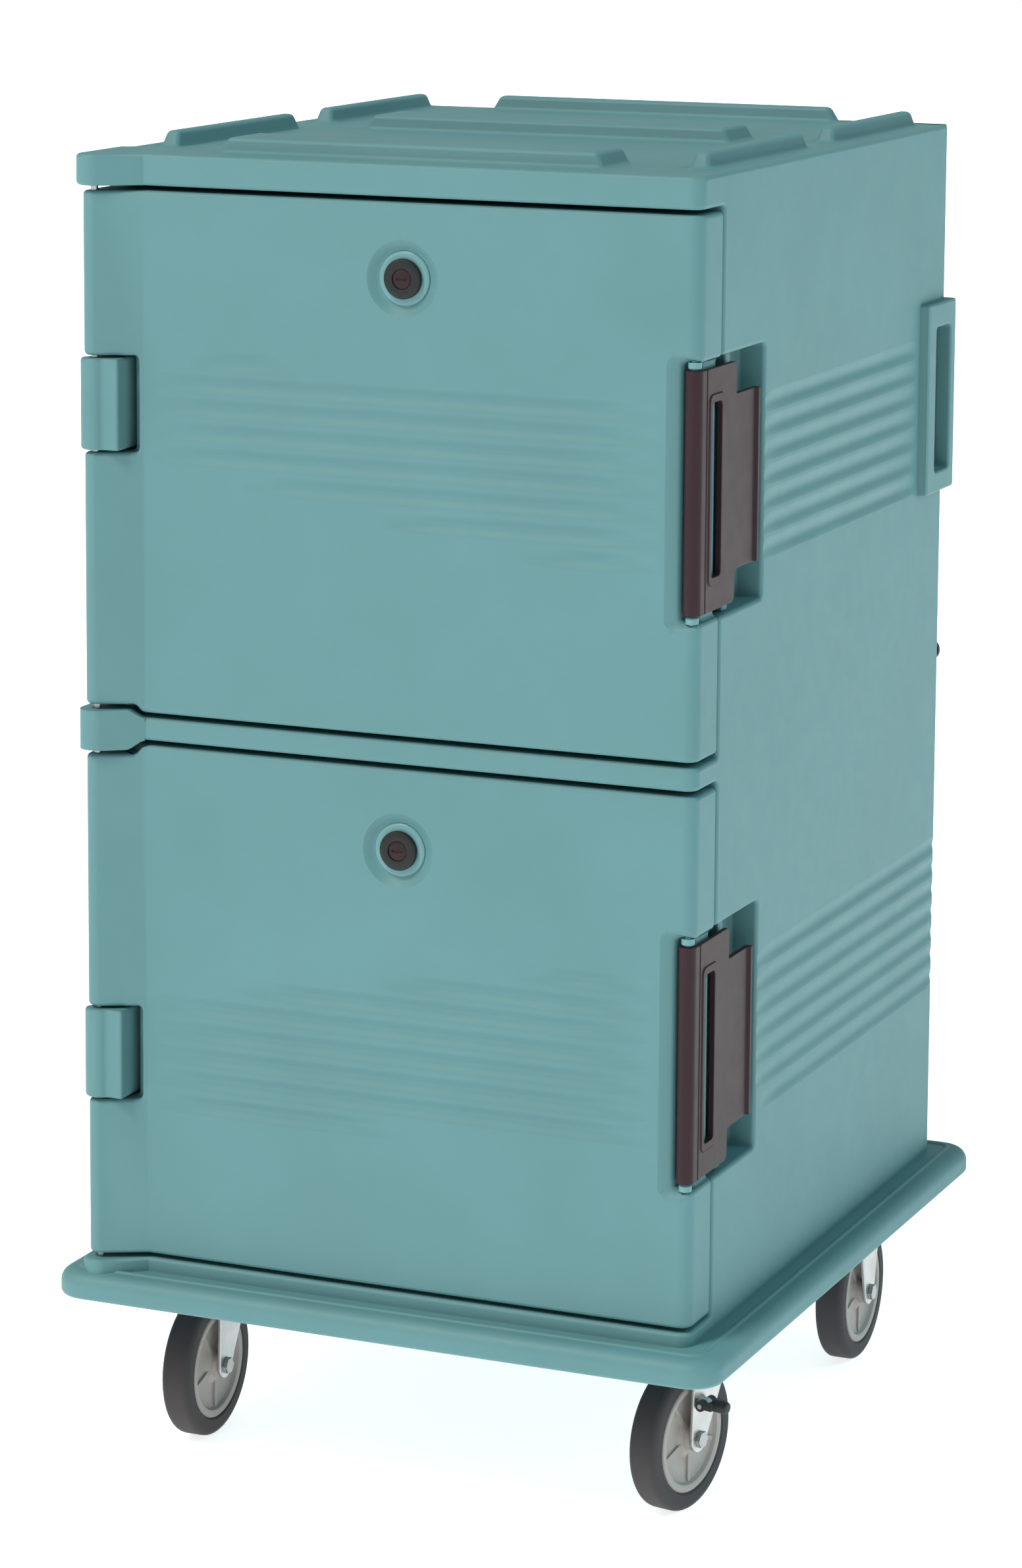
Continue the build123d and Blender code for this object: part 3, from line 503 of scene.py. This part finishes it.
def deck_bar(x0, x1, y0, y1, slope=10.0):
    """Raised bar on the deck with sloping ends and sides."""
    top = SHELL[1].z
    foot = DECK_Z - 3.0
    long_x = x1 - x0 > y1 - y0
    end_x, end_y = (slope, 4.0) if long_x else (4.0, slope)
    low = [(x0, y0), (x1, y0), (x1, y1), (x0, y1)]
    high = [(x0 + end_x, y0 + end_y), (x1 - end_x, y0 + end_y)]
    high += [(x1 - end_x, y1 - end_y), (x0 + end_x, y1 - end_y)]
    verts = [(x, y, foot) for x, y in low] + [(x, y, top) for x, y in high]
    faces = [(0, 1, 2, 3), (7, 6, 5, 4)] + [(i, (i + 1) % 4, 4 + (i + 1) % 4, 4 + i) for i in range(4)]
    return new_object("bar", verts, faces)


def rail_thickening(grow):
    """Round thickening of the middle rail about the hinge pins."""
    extra, top, foot = 9.0 + grow, 33.0 + grow, 49.0 + grow
    upper = [(foot, 0), (foot - 4, 1.2), (top + 3, extra - 1.6)]
    upper += [(top + 1.2, extra - 0.5), (top - 1, extra), (0, extra)]
    profile = [(r, RAIL[1] + z) for r, z in upper]
    profile += [(r, RAIL[0] - z) for r, z in reversed(upper)]
    return lathe((HINGE.x, HINGE.y, 0), "Z", profile, 72)


def wall_flutes():
    """Cutters of the flutes in both side walls, then of those across the back."""
    recess_rear = LATCH["upper"].y + 171.0
    ear_front = GRIP[0].y
    upper_rows = [1133.0 - 24.6 * k for k in range(7)]
    lower_rows = [566.0 - 25.0 * k for k in range(7)]
    sides = []
    for side in (-1, 1):
        front = recess_rear - 6 if side > 0 else BODY_FRONT + 25
        wall = side * BODY_X
        for z in upper_rows:
            sides.append(flute(wall, side, front, ear_front - 6, z, "Y", (60.0, 50.0), WALL_FLUTE_DEPTH))
        for k, z in enumerate(lower_rows):
            start = front + max(0, k - 5) * 20
            sides.append(flute(wall, side, start, BODY_REAR + 3, z, "Y", (60.0, 0), WALL_FLUTE_DEPTH))
    half = BODY_X + 3
    back = [flute(BODY_REAR, 1, -half, half, z, "X", (0, 0), WALL_FLUTE_DEPTH) for z in lower_rows]
    return join(sides), join(back)


def cabinet_shell():
    """The moulded cabinet: body, lid, rail, sill, base, deck bars, recesses and flutes."""
    plan = [(-BODY_X, BODY_FRONT), (BODY_X, BODY_FRONT)]
    plan += arc((BODY_X - 12, BODY_REAR - 12), 12, 0, 90)
    plan += arc((-BODY_X + 12, BODY_REAR - 12), 12, 90, 180)
    body = prism(plan, BASE_Z + 8, DECK_Z)
    front = front_plan(BODY_FRONT + 15, LID_R)
    combine(body, [prism(front, LID_Z, DECK_Z), prism(front, *RAIL)])
    combine(body, [prism(front, BASE_Z + 9, SILL_Z)])
    bars = [deck_bar(-206, 206, 341, 363)]
    for x in (-288, 288):
        bars += [deck_bar(x - 11, x + 11, -290, -2), deck_bar(x - 11, x + 11, 72, 345)]
    bars += [deck_bar(-209, 209, y, y + 76) for y in (-338, 8)]
    combine(body, bars)
    holes = []
    for level in LEVELS:
        low, high = LINER[level]
        holes.append(box(low.x, high.x, BODY_FRONT - 1, high.y, low.z, high.z))
        z, floor_x = LATCH[level].z, KEEPER[level][0].x
        holes.append(box(floor_x, BODY_X + 9, BODY_FRONT - 5, LATCH[level].y + 171, z - 128, z + 128))
    for side in (-1, 1):
        x0, x1 = sorted((side * 288.0, side * (BODY_X + 9)))
        holes.append(box(x0, x1, SLOT_Y[0], BODY_REAR + 9, *SLOT_Z))
    cut(body, *holes)
    round_edges(body, EDGE_R)
    block = rail_thickening(0)
    combine(block, [prism(front_plan(BODY_FRONT, LID_R), RAIL[0] - 12, RAIL[1] + 12)], "INTERSECT")
    combine(body, [block, base_slab()])
    cut(body, *wall_flutes())
    return finish_piece(body, "shell_body", "cabinet", TEAL, ["outer_shell"])


def knuckle(level):
    """Hinge knuckle block on the body."""
    low, high = KNUCKLE[level]
    outline = arc((HINGE.x, HINGE.y), HINGE.x - low.x, 180, 322, 2 * ARC_STEPS)
    outline += [(high.x, HINGE.y - 10), (high.x, high.y + 2)]
    outline += [(-326.5, high.y + 2), (-326.5, HINGE.y + 13.5)]
    solid = round_edges(prism(outline, low.z, high.z), 3.0)
    return finish_piece(
        solid, "knuckle_" + level, "cabinet", TEAL, ["hinge_knuckle_" + level]
    )


def side_handle(side, side_name):
    """Ear at a rear corner with the grip slot."""
    front, rear, outside = GRIP[0].y, GRIP[1].y, GRIP[1].x
    outline = [(BODY_X - 8, front), (BODY_X, front), (outside - 1.5, front + 4), (outside, front + 6)]
    outline += [(outside, rear), (BODY_X - 8, rear)]
    ear = prism([(side * x, y) for x, y in outline], GRIP[0].z, GRIP[1].z)
    x0, x1 = sorted((side * 286.0, side * 350.0))
    cut(ear, prism(rounded_rectangle(*SLOT_Y, *SLOT_Z, 6), x0, x1, "X"))
    round_edges(ear, 3.0)
    return finish_piece(
        ear, "grip_" + side_name, "cabinet", TEAL, ["side_handle_" + side_name]
    )


# ---------------------------------------------------------------- doors
DOOR_FLUTES = {
    "upper": [(1166, -222, -95)]
    + [(z, -266, 286) for z in UPPER_ROWS]
    + [(1044, -165, 286), (1018, -10, 286), (994, 140, 286)],
    "lower": [(576, 140, 284), (551, -10, 284), (527, -165, 284)]
    + [(z, -266, 284) for z in LOWER_ROWS]
    + [(398, -266, 10)],
}
POCKET_HALF = 127.0


def latch_pocket(level):
    """Cutter of the hollow in the door's free edge, with its bevelled mouth."""
    z = LATCH[level].z
    mouth, throat = 288.0, 305.5
    front, shelf = DOOR_FACE - 4, LATCH[level].y - 1
    rim = [
        rounded_rectangle(mouth - 4, 345, z - POCKET_HALF - 10, z + POCKET_HALF + 10, 12, 6),
        rounded_rectangle(throat, 345, z - POCKET_HALF, z + POCKET_HALF, 5, 6),
    ]
    count = len(rim[0])
    verts = [(x, front, h) for x, h in rim[0]] + [(x, shelf, h) for x, h in rim[1]]
    verts += [(x, LATCH[level].y + 12, h) for x, h in rim[1]]
    faces = [tuple(range(count)), tuple(range(3 * count - 1, 2 * count - 1, -1))]
    for r in range(2):
        for k in range(count):
            n = (k + 1) % count
            faces.append((r * count + k, r * count + n, (r + 1) * count + n, (r + 1) * count + k))
    hollow = new_object("pocket", verts, faces)
    return [hollow, box(320, 345, LATCH[level].y + 8, BODY_FRONT + 9, z - POCKET_HALF, z + POCKET_HALF)]


def door(level):
    """Moulded door skin with its stile, window, pocket, dimple and flutes."""
    low, high = DOOR[level]
    solid = prism(front_plan(DOOR_BACK, BARREL_R), low.z, high.z)
    pin = rod((HINGE.x, HINGE.y, 0), "Z", low.z - 5, high.z + 5, 4.4, 32)
    z0, z1 = KNUCKLE[level][0].z - 2.5, KNUCKLE[level][1].z + 2.5
    window = [box(-360, -286, -440, BODY_FRONT, z0, z1), box(-360, -277, -440, -370, z0, z1)]
    plate = PANEL[level]
    back = box(plate[0].x, plate[1].x, DOOR_BACK - 4, DOOR_BACK + 4, plate[0].z, plate[1].z)
    cut(solid, rail_thickening(5.0), *window, *latch_pocket(level))
    round_edges(solid, EDGE_R)
    x, z = VENT[level].x, VENT[level].z
    bowl = [(0, DOOR_FACE + 7.0), (27, DOOR_FACE + 7.0), (31, DOOR_FACE + 5.6), (34.5, DOOR_FACE + 2.4)]
    bowl += [(37.5, DOOR_FACE + 0.5), (40, DOOR_FACE - 1.5), (0, DOOR_FACE - 1.5)]
    bore = rod((x, 0, z), "Y", DOOR_FACE, DOOR_BACK + 3, 9.02)
    cut(solid, pin, lathe((x, 0, z), "Y", bowl, 72), bore, back, solver="MANIFOLD")
    flutes = [flute(DOOR_FACE, -1, x0, x1, row, "X") for row, x0, x1 in DOOR_FLUTES[level]]
    cut(solid, join(flutes), solver="MANIFOLD")
    return finish_piece(
        solid, "door_skin_" + level, "door_" + level, TEAL, ["door_shell_" + level]
    )


def vent(level):
    """Dark cap and the lighter ring under it."""
    x, z = VENT[level].x, VENT[level].z
    low, high = span("vent_cap_" + level)
    radius = (high.x - low.x) / 2
    front, stem_end = low.y, high.y
    back = front + 5.0
    profile = [(0, front + 1.4), (9, front + 1.4), (10.5, front + 0.2), (14, front)]
    profile += [(radius - 2.5, front + 0.3), (radius - 0.7, front + 1.0), (radius, front + 2.4)]
    profile += [(radius, back), (6.0, back), (6.0, stem_end), (0, stem_end)]
    cap = lathe((x, 0, z), "Y", profile, 72)
    cut(cap, rod((x, 0, z), "Y", front - 1, front + 2, 10.4, 64))
    body = "cap_" + level
    finish_piece(cap, "vent_knob_" + level, body, NEAR_BLACK, ["vent_cap_" + level], 35)
    button = [(0, front + 0.5), (8, front + 0.7), (9.6, front + 1.2), (9.8, front + 3), (0, front + 3)]
    disc = lathe((x, 0, z), "Y", button, 48)
    cut(disc, box(x - 6, x + 6, front - 1, front + 1.6, z - 1.2, z + 1.2))
    finish_piece(disc, "vent_button_" + level, body, MAROON, (), 35)
    s_low, s_high = span("vent_sleeve_" + level)
    face, end, flange = s_low.y, s_high.y, (s_high.x - s_low.x) / 2
    ring = [(6.05, face + 0.2), (flange - 3, face), (flange - 1, face + 0.5), (flange, face + 1.5)]
    ring += [(flange, face + 3), (9, face + 3), (9, end), (6.05, end)]
    sleeve = lathe((x, 0, z), "Y", ring, 72)
    finish_piece(
        sleeve, "vent_ring_" + level, "door_" + level, TEAL_RING, ["vent_sleeve_" + level], 35
    )


# ---------------------------------------------------------------- latches
def latch(level):
    """Latch handle: barrel, slotted plate, paddle with a turned-out grip, lip behind."""
    axis = LATCH[level]
    low, high = span("latch_handle_" + level)
    z0, z1 = low.z, high.z
    half = (z1 - z0) / 2
    inner, outer = axis.x + 4, axis.x + 9
    stem_rear, paddle_rear = axis.y + 91, axis.y + 150
    paddle_half, slot_half = half - 32, half - 33.5
    barrel = rod((axis.x, axis.y, 0), "Z", z0, z1, 9.0, 40)
    plate_outline = [
        (axis.y, z0), (stem_rear - 5, z0), (stem_rear, z0 + 5), (stem_rear, axis.z - paddle_half),
        (paddle_rear - 4, axis.z - paddle_half), (paddle_rear, axis.z - paddle_half + 4),
        (paddle_rear, axis.z + paddle_half - 4), (paddle_rear - 4, axis.z + paddle_half),
        (stem_rear, axis.z + paddle_half), (stem_rear, z1 - 5), (stem_rear - 5, z1), (axis.y, z1),
    ]
    plate = prism(plate_outline, inner, outer, "X")
    grip_outline = [(inner + 0.5, paddle_rear - 9), (outer + 3, paddle_rear - 5)]
    grip_outline += [(outer + 3, paddle_rear), (inner + 0.5, paddle_rear)]
    paddle = (axis.z - paddle_half, axis.z + paddle_half)
    grip = prism(grip_outline, *paddle)
    rim_z = slot_half + 8
    rim_outline = rounded_rectangle(axis.y + 17, axis.y + 56, axis.z - rim_z, axis.z + rim_z, 8)
    rim = prism(rim_outline, inner + 1, outer + 1.2, "X")
    lip_x = low.x if low.x > axis.x else axis.x + 1.4
    lip = box(lip_x, inner + 1, axis.y + 93.4, axis.y + 105, *paddle)
    combine(barrel, [plate, grip, rim, lip])
    slot_outline = rounded_rectangle(axis.y + 24, axis.y + 49, axis.z - slot_half, axis.z + slot_half, 5)
    slot = prism(slot_outline, inner - 5, outer + 8, "X")
    seam = box(outer - 1.0, outer + 3, axis.y + 9.5, axis.y + 11.5, z0 - 3, z1 + 3)
    cut(barrel, slot, seam, rod((axis.x, axis.y, 0), "Z", z0 - 3, z1 + 3, 3.05, 32))
    round_edges(barrel, 0.9, 3, 40)
    return finish_piece(
        barrel, "latch_lever_" + level, "latch_" + level, MAROON, ["latch_handle_" + level], 35
    )


def keeper(level):
    """Rib in the side recess behind the latch plate."""
    low, high = KEEPER[level]
    rib = box(low.x - 1, high.x, low.y, high.y, low.z + 0.2, high.z - 0.2)
    round_edges(rib, 2.0)
    return finish_piece(
        rib, "keeper_rib_" + level, "cabinet", TEAL, ["latch_keeper_" + level]
    )


def latch_pin(level):
    """Pin of a latch with the light bosses that carry it."""
    axis = LATCH[level]
    low, high = span("latch_pin_" + level)
    ends = (axis.z - POCKET_HALF, axis.z + POCKET_HALF)
    foot, top = ends
    profile = [(0, low.z), (3, low.z), (3, foot), (6.5, foot), (6.5, foot + 5.6), (5.1, foot + 7)]
    profile += [(3, foot + 7), (3, top - 7), (5.1, top - 7), (6.5, top - 5.6), (6.5, top), (3, top)]
    profile += [(3, high.z), (0, high.z)]
    pin = lathe((axis.x, axis.y, 0), "Z", profile, 40)
    return finish_piece(
        pin, "latch_pivot_" + level, "door_" + level, TEAL_RING, ["latch_pin_" + level], 35
    )


# ---------------------------------------------------------------- casters
def swivel_turn(name, kingpin):
    """Turn of a caster about its kingpin, read from the direction of its wheel axis."""
    for joint in frame["joints"]:
        if joint["name"] == "spin_" + name:
            x, y = joint["axis"][:2]
    return Matrix.Translation(kingpin) @ Matrix.Rotation(atan2(y, x), 4, "Z") @ Matrix.Translation(-kingpin)


def turned(obj, turn):
    """The object with its mesh turned."""
    obj.data.transform(turn)
    return obj


def wheel(name, centre, turn):
    """Tread and hub of one wheel."""
    low, high = span("tread_rear_left")
    radius, half = (high.z - low.z) / 2, (high.x - low.x) / 2
    rim = 57.0
    crown = [(radius - 9 + 9 * cos(radians(a)), half - 7 + 7 * sin(radians(a))) for a in range(0, 91, 15)]
    profile = [(r, x) for r, x in crown] + [(rim + 2, half), (rim, half - 1.5)]
    profile += [(r, -x) for r, x in reversed(profile)]
    tyre = turned(lathe(centre, "X", profile, 96), turn)
    body = "wheel_" + name
    finish_piece(tyre, "tyre_" + name, body, TREAD_GREY, ["tread_" + name], 35)
    h_low, h_high = span("hub_rear_left")
    boss = (h_high.x - h_low.x) / 2
    face = [(5.05, boss), (12, boss), (13, boss - 1), (14, half - 3), (19, half - 5), (22, half - 6.5)]
    face += [(44, half - 6.5), (47, half - 5), (49, half - 1.2), (51, half - 0.4), (55.5, half - 0.4)]
    face += [(rim - 0.1, half - 1.8)]
    outline = face + [(r, -x) for r, x in reversed(face)]
    disc = lathe(centre, "X", outline, 96)
    ribs = []
    for k in range(5):
        a = 2 * pi * (k + 0.5) / 5
        for side in (-1, 1):
            x0, x1 = sorted((side * (half - 8), side * (half - 4.2)))
            y0, y1 = centre.y - 2.2, centre.y + 2.2
            rib = box(centre.x + x0, centre.x + x1, y0, y1, centre.z + 16, centre.z + 47)
            spin = Matrix.Translation(centre) @ Matrix.Rotation(a, 4, "X") @ Matrix.Translation(-centre)
            ribs.append(turned(rib, spin))
    combine(disc, ribs)
    disc = turned(disc, turn)
    finish_piece(disc, "hub_disc_" + name, body, HUB_GREY, ["hub_" + name], 35)


def fork(name, centre, pivot_y, body, swivels, turn):
    """Pressed fork: two tapering legs, crown and raceway, or a fixed plate."""
    inner, sheet, eye = 20.0, 4.0, 14.0
    top = 166.0 if swivels else 182.0
    front, rear = (pivot_y - 40, pivot_y + 32) if swivels else (pivot_y - 38, pivot_y + 38)
    y, z = centre.y, centre.z
    outline = arc((y, z), eye, 190, 350, 12)
    outline += [(rear - 4, top - 22), (rear, top - 14), (rear, top)]
    outline += [(front, top), (front, top - 14), (front + 4, top - 22)]
    legs = []
    for side in (-1, 1):
        x0, x1 = sorted((centre.x + side * inner, centre.x + side * (inner + sheet)))
        legs.append(prism(outline, x0, x1, "X"))
    reach = inner + sheet
    if swivels:
        crown = box(centre.x - reach, centre.x + reach, front, rear, top - 6, top)
        race = [(8.05, top - 3), (38, top - 3), (38, top + 3.8), (36.6, top + 5.6), (8.05, top + 5.6)]
        parts = [crown, lathe((centre.x, pivot_y, 0), "Z", race, 72)]
    else:
        plate = rounded_rectangle(centre.x - 51, centre.x + 51, pivot_y - 57, pivot_y + 57, 8)
        parts = [prism(plate, top, top + 5)]
    solid = combine(legs[0], [legs[1]] + parts)
    cuts = [rod((0, y, z), "X", centre.x - 30, centre.x + 30, 5.0, 32)]
    if swivels:
        cuts.append(rod((centre.x, pivot_y, 0), "Z", 150, 175, 8.05, 40))
    cut(solid, *cuts)
    round_edges(solid, 1.1, 2, 45)
    solid = turned(solid, turn)
    return finish_piece(solid, "fork_frame_" + name, body, ZINC, ["fork_" + name], 35)


def axle(name, centre, body, turn):
    """Axle bolt with a hexagon head and nut."""
    low, high = span("axle_rear_left")
    half = (high.x - low.x) / 2
    head = [(centre.y + 9 * cos(radians(60 * k)), centre.z + 9 * sin(radians(60 * k))) for k in range(6)]
    shaft = rod(centre, "X", -half + 2, half - 2, 5.0, 32)
    ends = [prism(head, centre.x + a, centre.x + b, "X") for a, b in ((-half, -24.05), (24.05, half))]
    combine(shaft, ends)
    round_edges(shaft, 0.7, 2, 45)
    shaft = turned(shaft, turn)
    return finish_piece(shaft, "axle_bolt_" + name, body, PIN_STEEL, ["axle_" + name], 35)


def brake(name, pivot, turn):
    """Brake lever: eye on its pin with a round-ended pedal."""
    x0, x1 = pivot.x + 9, pivot.x + 27
    y0, y1 = pivot.y - 13, pivot.y + 13
    profile = [(0, x0), (6.2, x0), (6.6, x0 + 2), (6.6, x1 - 4), (5.4, x1 - 1.2), (3.0, x1), (0, x1)]
    knob = lathe((0, pivot.y, pivot.z), "X", profile, 40)
    cheeks = []
    for a, b in ((y0, pivot.y - 4.4), (pivot.y + 4.4, y1)):
        cheeks.append(rod((pivot.x, 0, pivot.z), "Y", a, b, 5.5, 32))
        cheeks.append(box(pivot.x, pivot.x + 14, a, b, pivot.z - 3, pivot.z + 3))
    cheeks.append(box(pivot.x + 8.5, pivot.x + 14, y0, y1, pivot.z - 3, pivot.z + 3))
    combine(knob, cheeks)
    cut(knob, rod((pivot.x, 0, pivot.z), "Y", y0 - 2, y1 + 2, 2.55, 24))
    round_edges(knob, 0.8, 2, 45)
    knob = turned(knob, turn)
    body, lever = "brake_" + name, "brake_lever_" + name
    return finish_piece(knob, "brake_pedal_" + name, body, BRAKE_BLACK, [lever], 35)


def brake_lug(name, centre, pivot, turn):
    """Lug and pin on the fork's leg that carry the brake lever."""
    lug = box(centre.x + 23, pivot.x, pivot.y - 4, pivot.y + 4, pivot.z - 5.5, pivot.z + 5.5)
    parts = [rod((pivot.x, 0, pivot.z), "Y", pivot.y - 4, pivot.y + 4, 5.5, 32)]
    parts.append(rod((pivot.x, 0, pivot.z), "Y", pivot.y - 13, pivot.y + 13, 2.5, 24))
    combine(lug, parts)
    lug = turned(lug, turn)
    return finish_piece(lug, "brake_lug_" + name, "caster_" + name, ZINC, (), 35)


def cap_plug():
    """Dark round plug at the back edge."""
    low, high = span("rear_plug")
    x, z = (low.x + high.x) / 2, (low.z + high.z) / 2
    radius, back, tip = (high.x - low.x) / 2, BODY_REAR, high.y
    profile = [(0, back - 4), (6, back - 4), (6, back), (radius, back)]
    profile += [(radius, tip - 3), (radius - 1, tip - 1), (radius - 3, tip), (0, tip)]
    plug = lathe((x, 0, z), "Y", profile, 48)
    return finish_piece(plug, "plug_cap", "cabinet", MAROON, ["rear_plug"], 35)


CAD_LOOKS = {
    "foam": FOAM,
    "liner": TEAL_LINER,
    "door_panel": TEAL_LINER,
    "door_foam": FOAM,
    "door_gasket": SEAL_BLACK,
    "hinge_pin": PIN_STEEL,
    "caster_plate": ZINC,
    "caster_bolts": BOLT_STEEL,
}


def paint_cad_nodes():
    """Gives the CAD nodes that stay in view their materials."""
    for name, node in frame["nodes"].items():
        for prefix, material in CAD_LOOKS.items():
            if name.startswith(prefix):
                node.data.materials.clear()
                node.data.materials.append(material)


cabinet_shell()
for level in LEVELS:
    knuckle(level)
    door(level)
    vent(level)
    latch(level)
    keeper(level)
    latch_pin(level)
for side, side_name in ((-1, "left"), (1, "right")):
    side_handle(side, side_name)
cap_plug()
for name in ("front_left", "front_right", "rear_left", "rear_right"):
    swivels = name.startswith("front")
    kingpin = joint_place("swivel_" + name) if swivels else joint_place("spin_" + name)
    turn = swivel_turn(name, kingpin)
    centre = turn.inverted() @ joint_place("spin_" + name)
    body = "caster_" + name if swivels else "cabinet"
    wheel(name, centre, turn)
    fork(name, centre, kingpin.y, body, swivels, turn)
    axle(name, centre, body, turn)
    if "brake_lever_" + name in frame["nodes"]:
        pivot = turn.inverted() @ joint_place("brake_" + name + "_pivot")
        brake(name, pivot, turn)
        brake_lug(name, centre, pivot, turn)
paint_cad_nodes()


# ---------------------------------------------------------------- floor, light and camera
def stage():
    """Pale floor that the carrier stands on."""
    bpy.ops.mesh.primitive_plane_add(size=60, location=(0, 0, 0))
    floor = bpy.context.object
    floor.name = "floor"
    material, nodes, links, bsdf, place = shader("pale_floor")
    tone = noise(nodes, links, place, 0.8, 2.0, 0.5)
    pale = ramp(nodes, links, tone, [(0.3, (0.93, 0.93, 0.93)), (0.7, (0.95, 0.95, 0.95))])
    links.new(pale, bsdf.inputs["Base Color"])
    links.new(pale, bsdf.inputs["Emission Color"])
    bsdf.inputs["Emission Strength"].default_value = 0.8
    bsdf.inputs["Roughness"].default_value = 0.9
    bsdf.inputs["Specular IOR Level"].default_value = 0.1
    floor.data.materials.append(material)


def sun(name, azimuth, elevation, strength, softness, colour):
    """Soft far light. Azimuth is measured from the front towards the right side."""
    data = bpy.data.lights.new(name, "SUN")
    data.energy = strength
    data.angle = radians(softness)
    data.color = colour
    light = bpy.data.objects.new(name, data)
    a, e = radians(azimuth), radians(elevation)
    towards = Vector((sin(a) * cos(e), -cos(a) * cos(e), sin(e)))
    light.rotation_euler = towards.to_track_quat("Z", "Y").to_euler()
    bpy.context.scene.collection.objects.link(light)


def panel(name, place, target, size, energy):
    """Square soft light at a place, facing a target."""
    data = bpy.data.lights.new(name, "AREA")
    data.energy = energy
    data.size = size
    light = bpy.data.objects.new(name, data)
    light.location = place
    light.rotation_euler = (Vector(place) - Vector(target)).to_track_quat("Z", "Y").to_euler()
    bpy.context.scene.collection.objects.link(light)


def lights():
    """Plain soft studio light with a white surround."""
    world = bpy.data.worlds.new("studio")
    bpy.context.scene.world = world
    world.use_nodes = True
    nodes, links = world.node_tree.nodes, world.node_tree.links
    room = nodes["Background"]
    room.inputs["Color"].default_value = (1.0, 1.0, 0.97, 1.0)
    room.inputs["Strength"].default_value = 0.38
    seen = nodes.new("ShaderNodeBackground")
    seen.inputs["Color"].default_value = (1.0, 1.0, 1.0, 1.0)
    path = nodes.new("ShaderNodeLightPath")
    mix = nodes.new("ShaderNodeMixShader")
    links.new(path.outputs["Is Camera Ray"], mix.inputs["Fac"])
    links.new(room.outputs["Background"], mix.inputs[1])
    links.new(seen.outputs["Background"], mix.inputs[2])
    links.new(mix.outputs["Shader"], nodes["World Output"].inputs["Surface"])
    sun("key", -28.0, 54.0, 2.15, 16.0, (1.0, 0.99, 0.93))
    sun("right_fill", 106.0, 38.0, 0.8, 20.0, (0.34, 0.93, 1.02))
    panel("front_panel", (-1.3, -2.2, 2.0), (-0.2, -0.4, 0.9), 0.8, 7.0)


def camera():
    """Camera right of the front and slightly above the carrier."""
    yaw, pitch, roll = radians(23.175), radians(8.483), radians(0.365)
    data = bpy.data.cameras.new("camera")
    data.sensor_width = 36.0
    data.lens = 108.84
    data.shift_y = -0.20
    data.clip_end = 200
    view = bpy.data.objects.new("camera", data)
    forward = Vector((-sin(yaw) * cos(pitch), cos(yaw) * cos(pitch), -sin(pitch)))
    turn = forward.to_track_quat("-Z", "Y").to_matrix().to_4x4()
    view.matrix_world = Matrix.Translation((1.925, -4.571, 1.757)) @ turn @ Matrix.Rotation(roll, 4, "Z")
    bpy.context.scene.collection.objects.link(view)
    bpy.context.scene.camera = view


stage()
lights()
camera()
bpy.context.scene.view_settings.view_transform = "Standard"
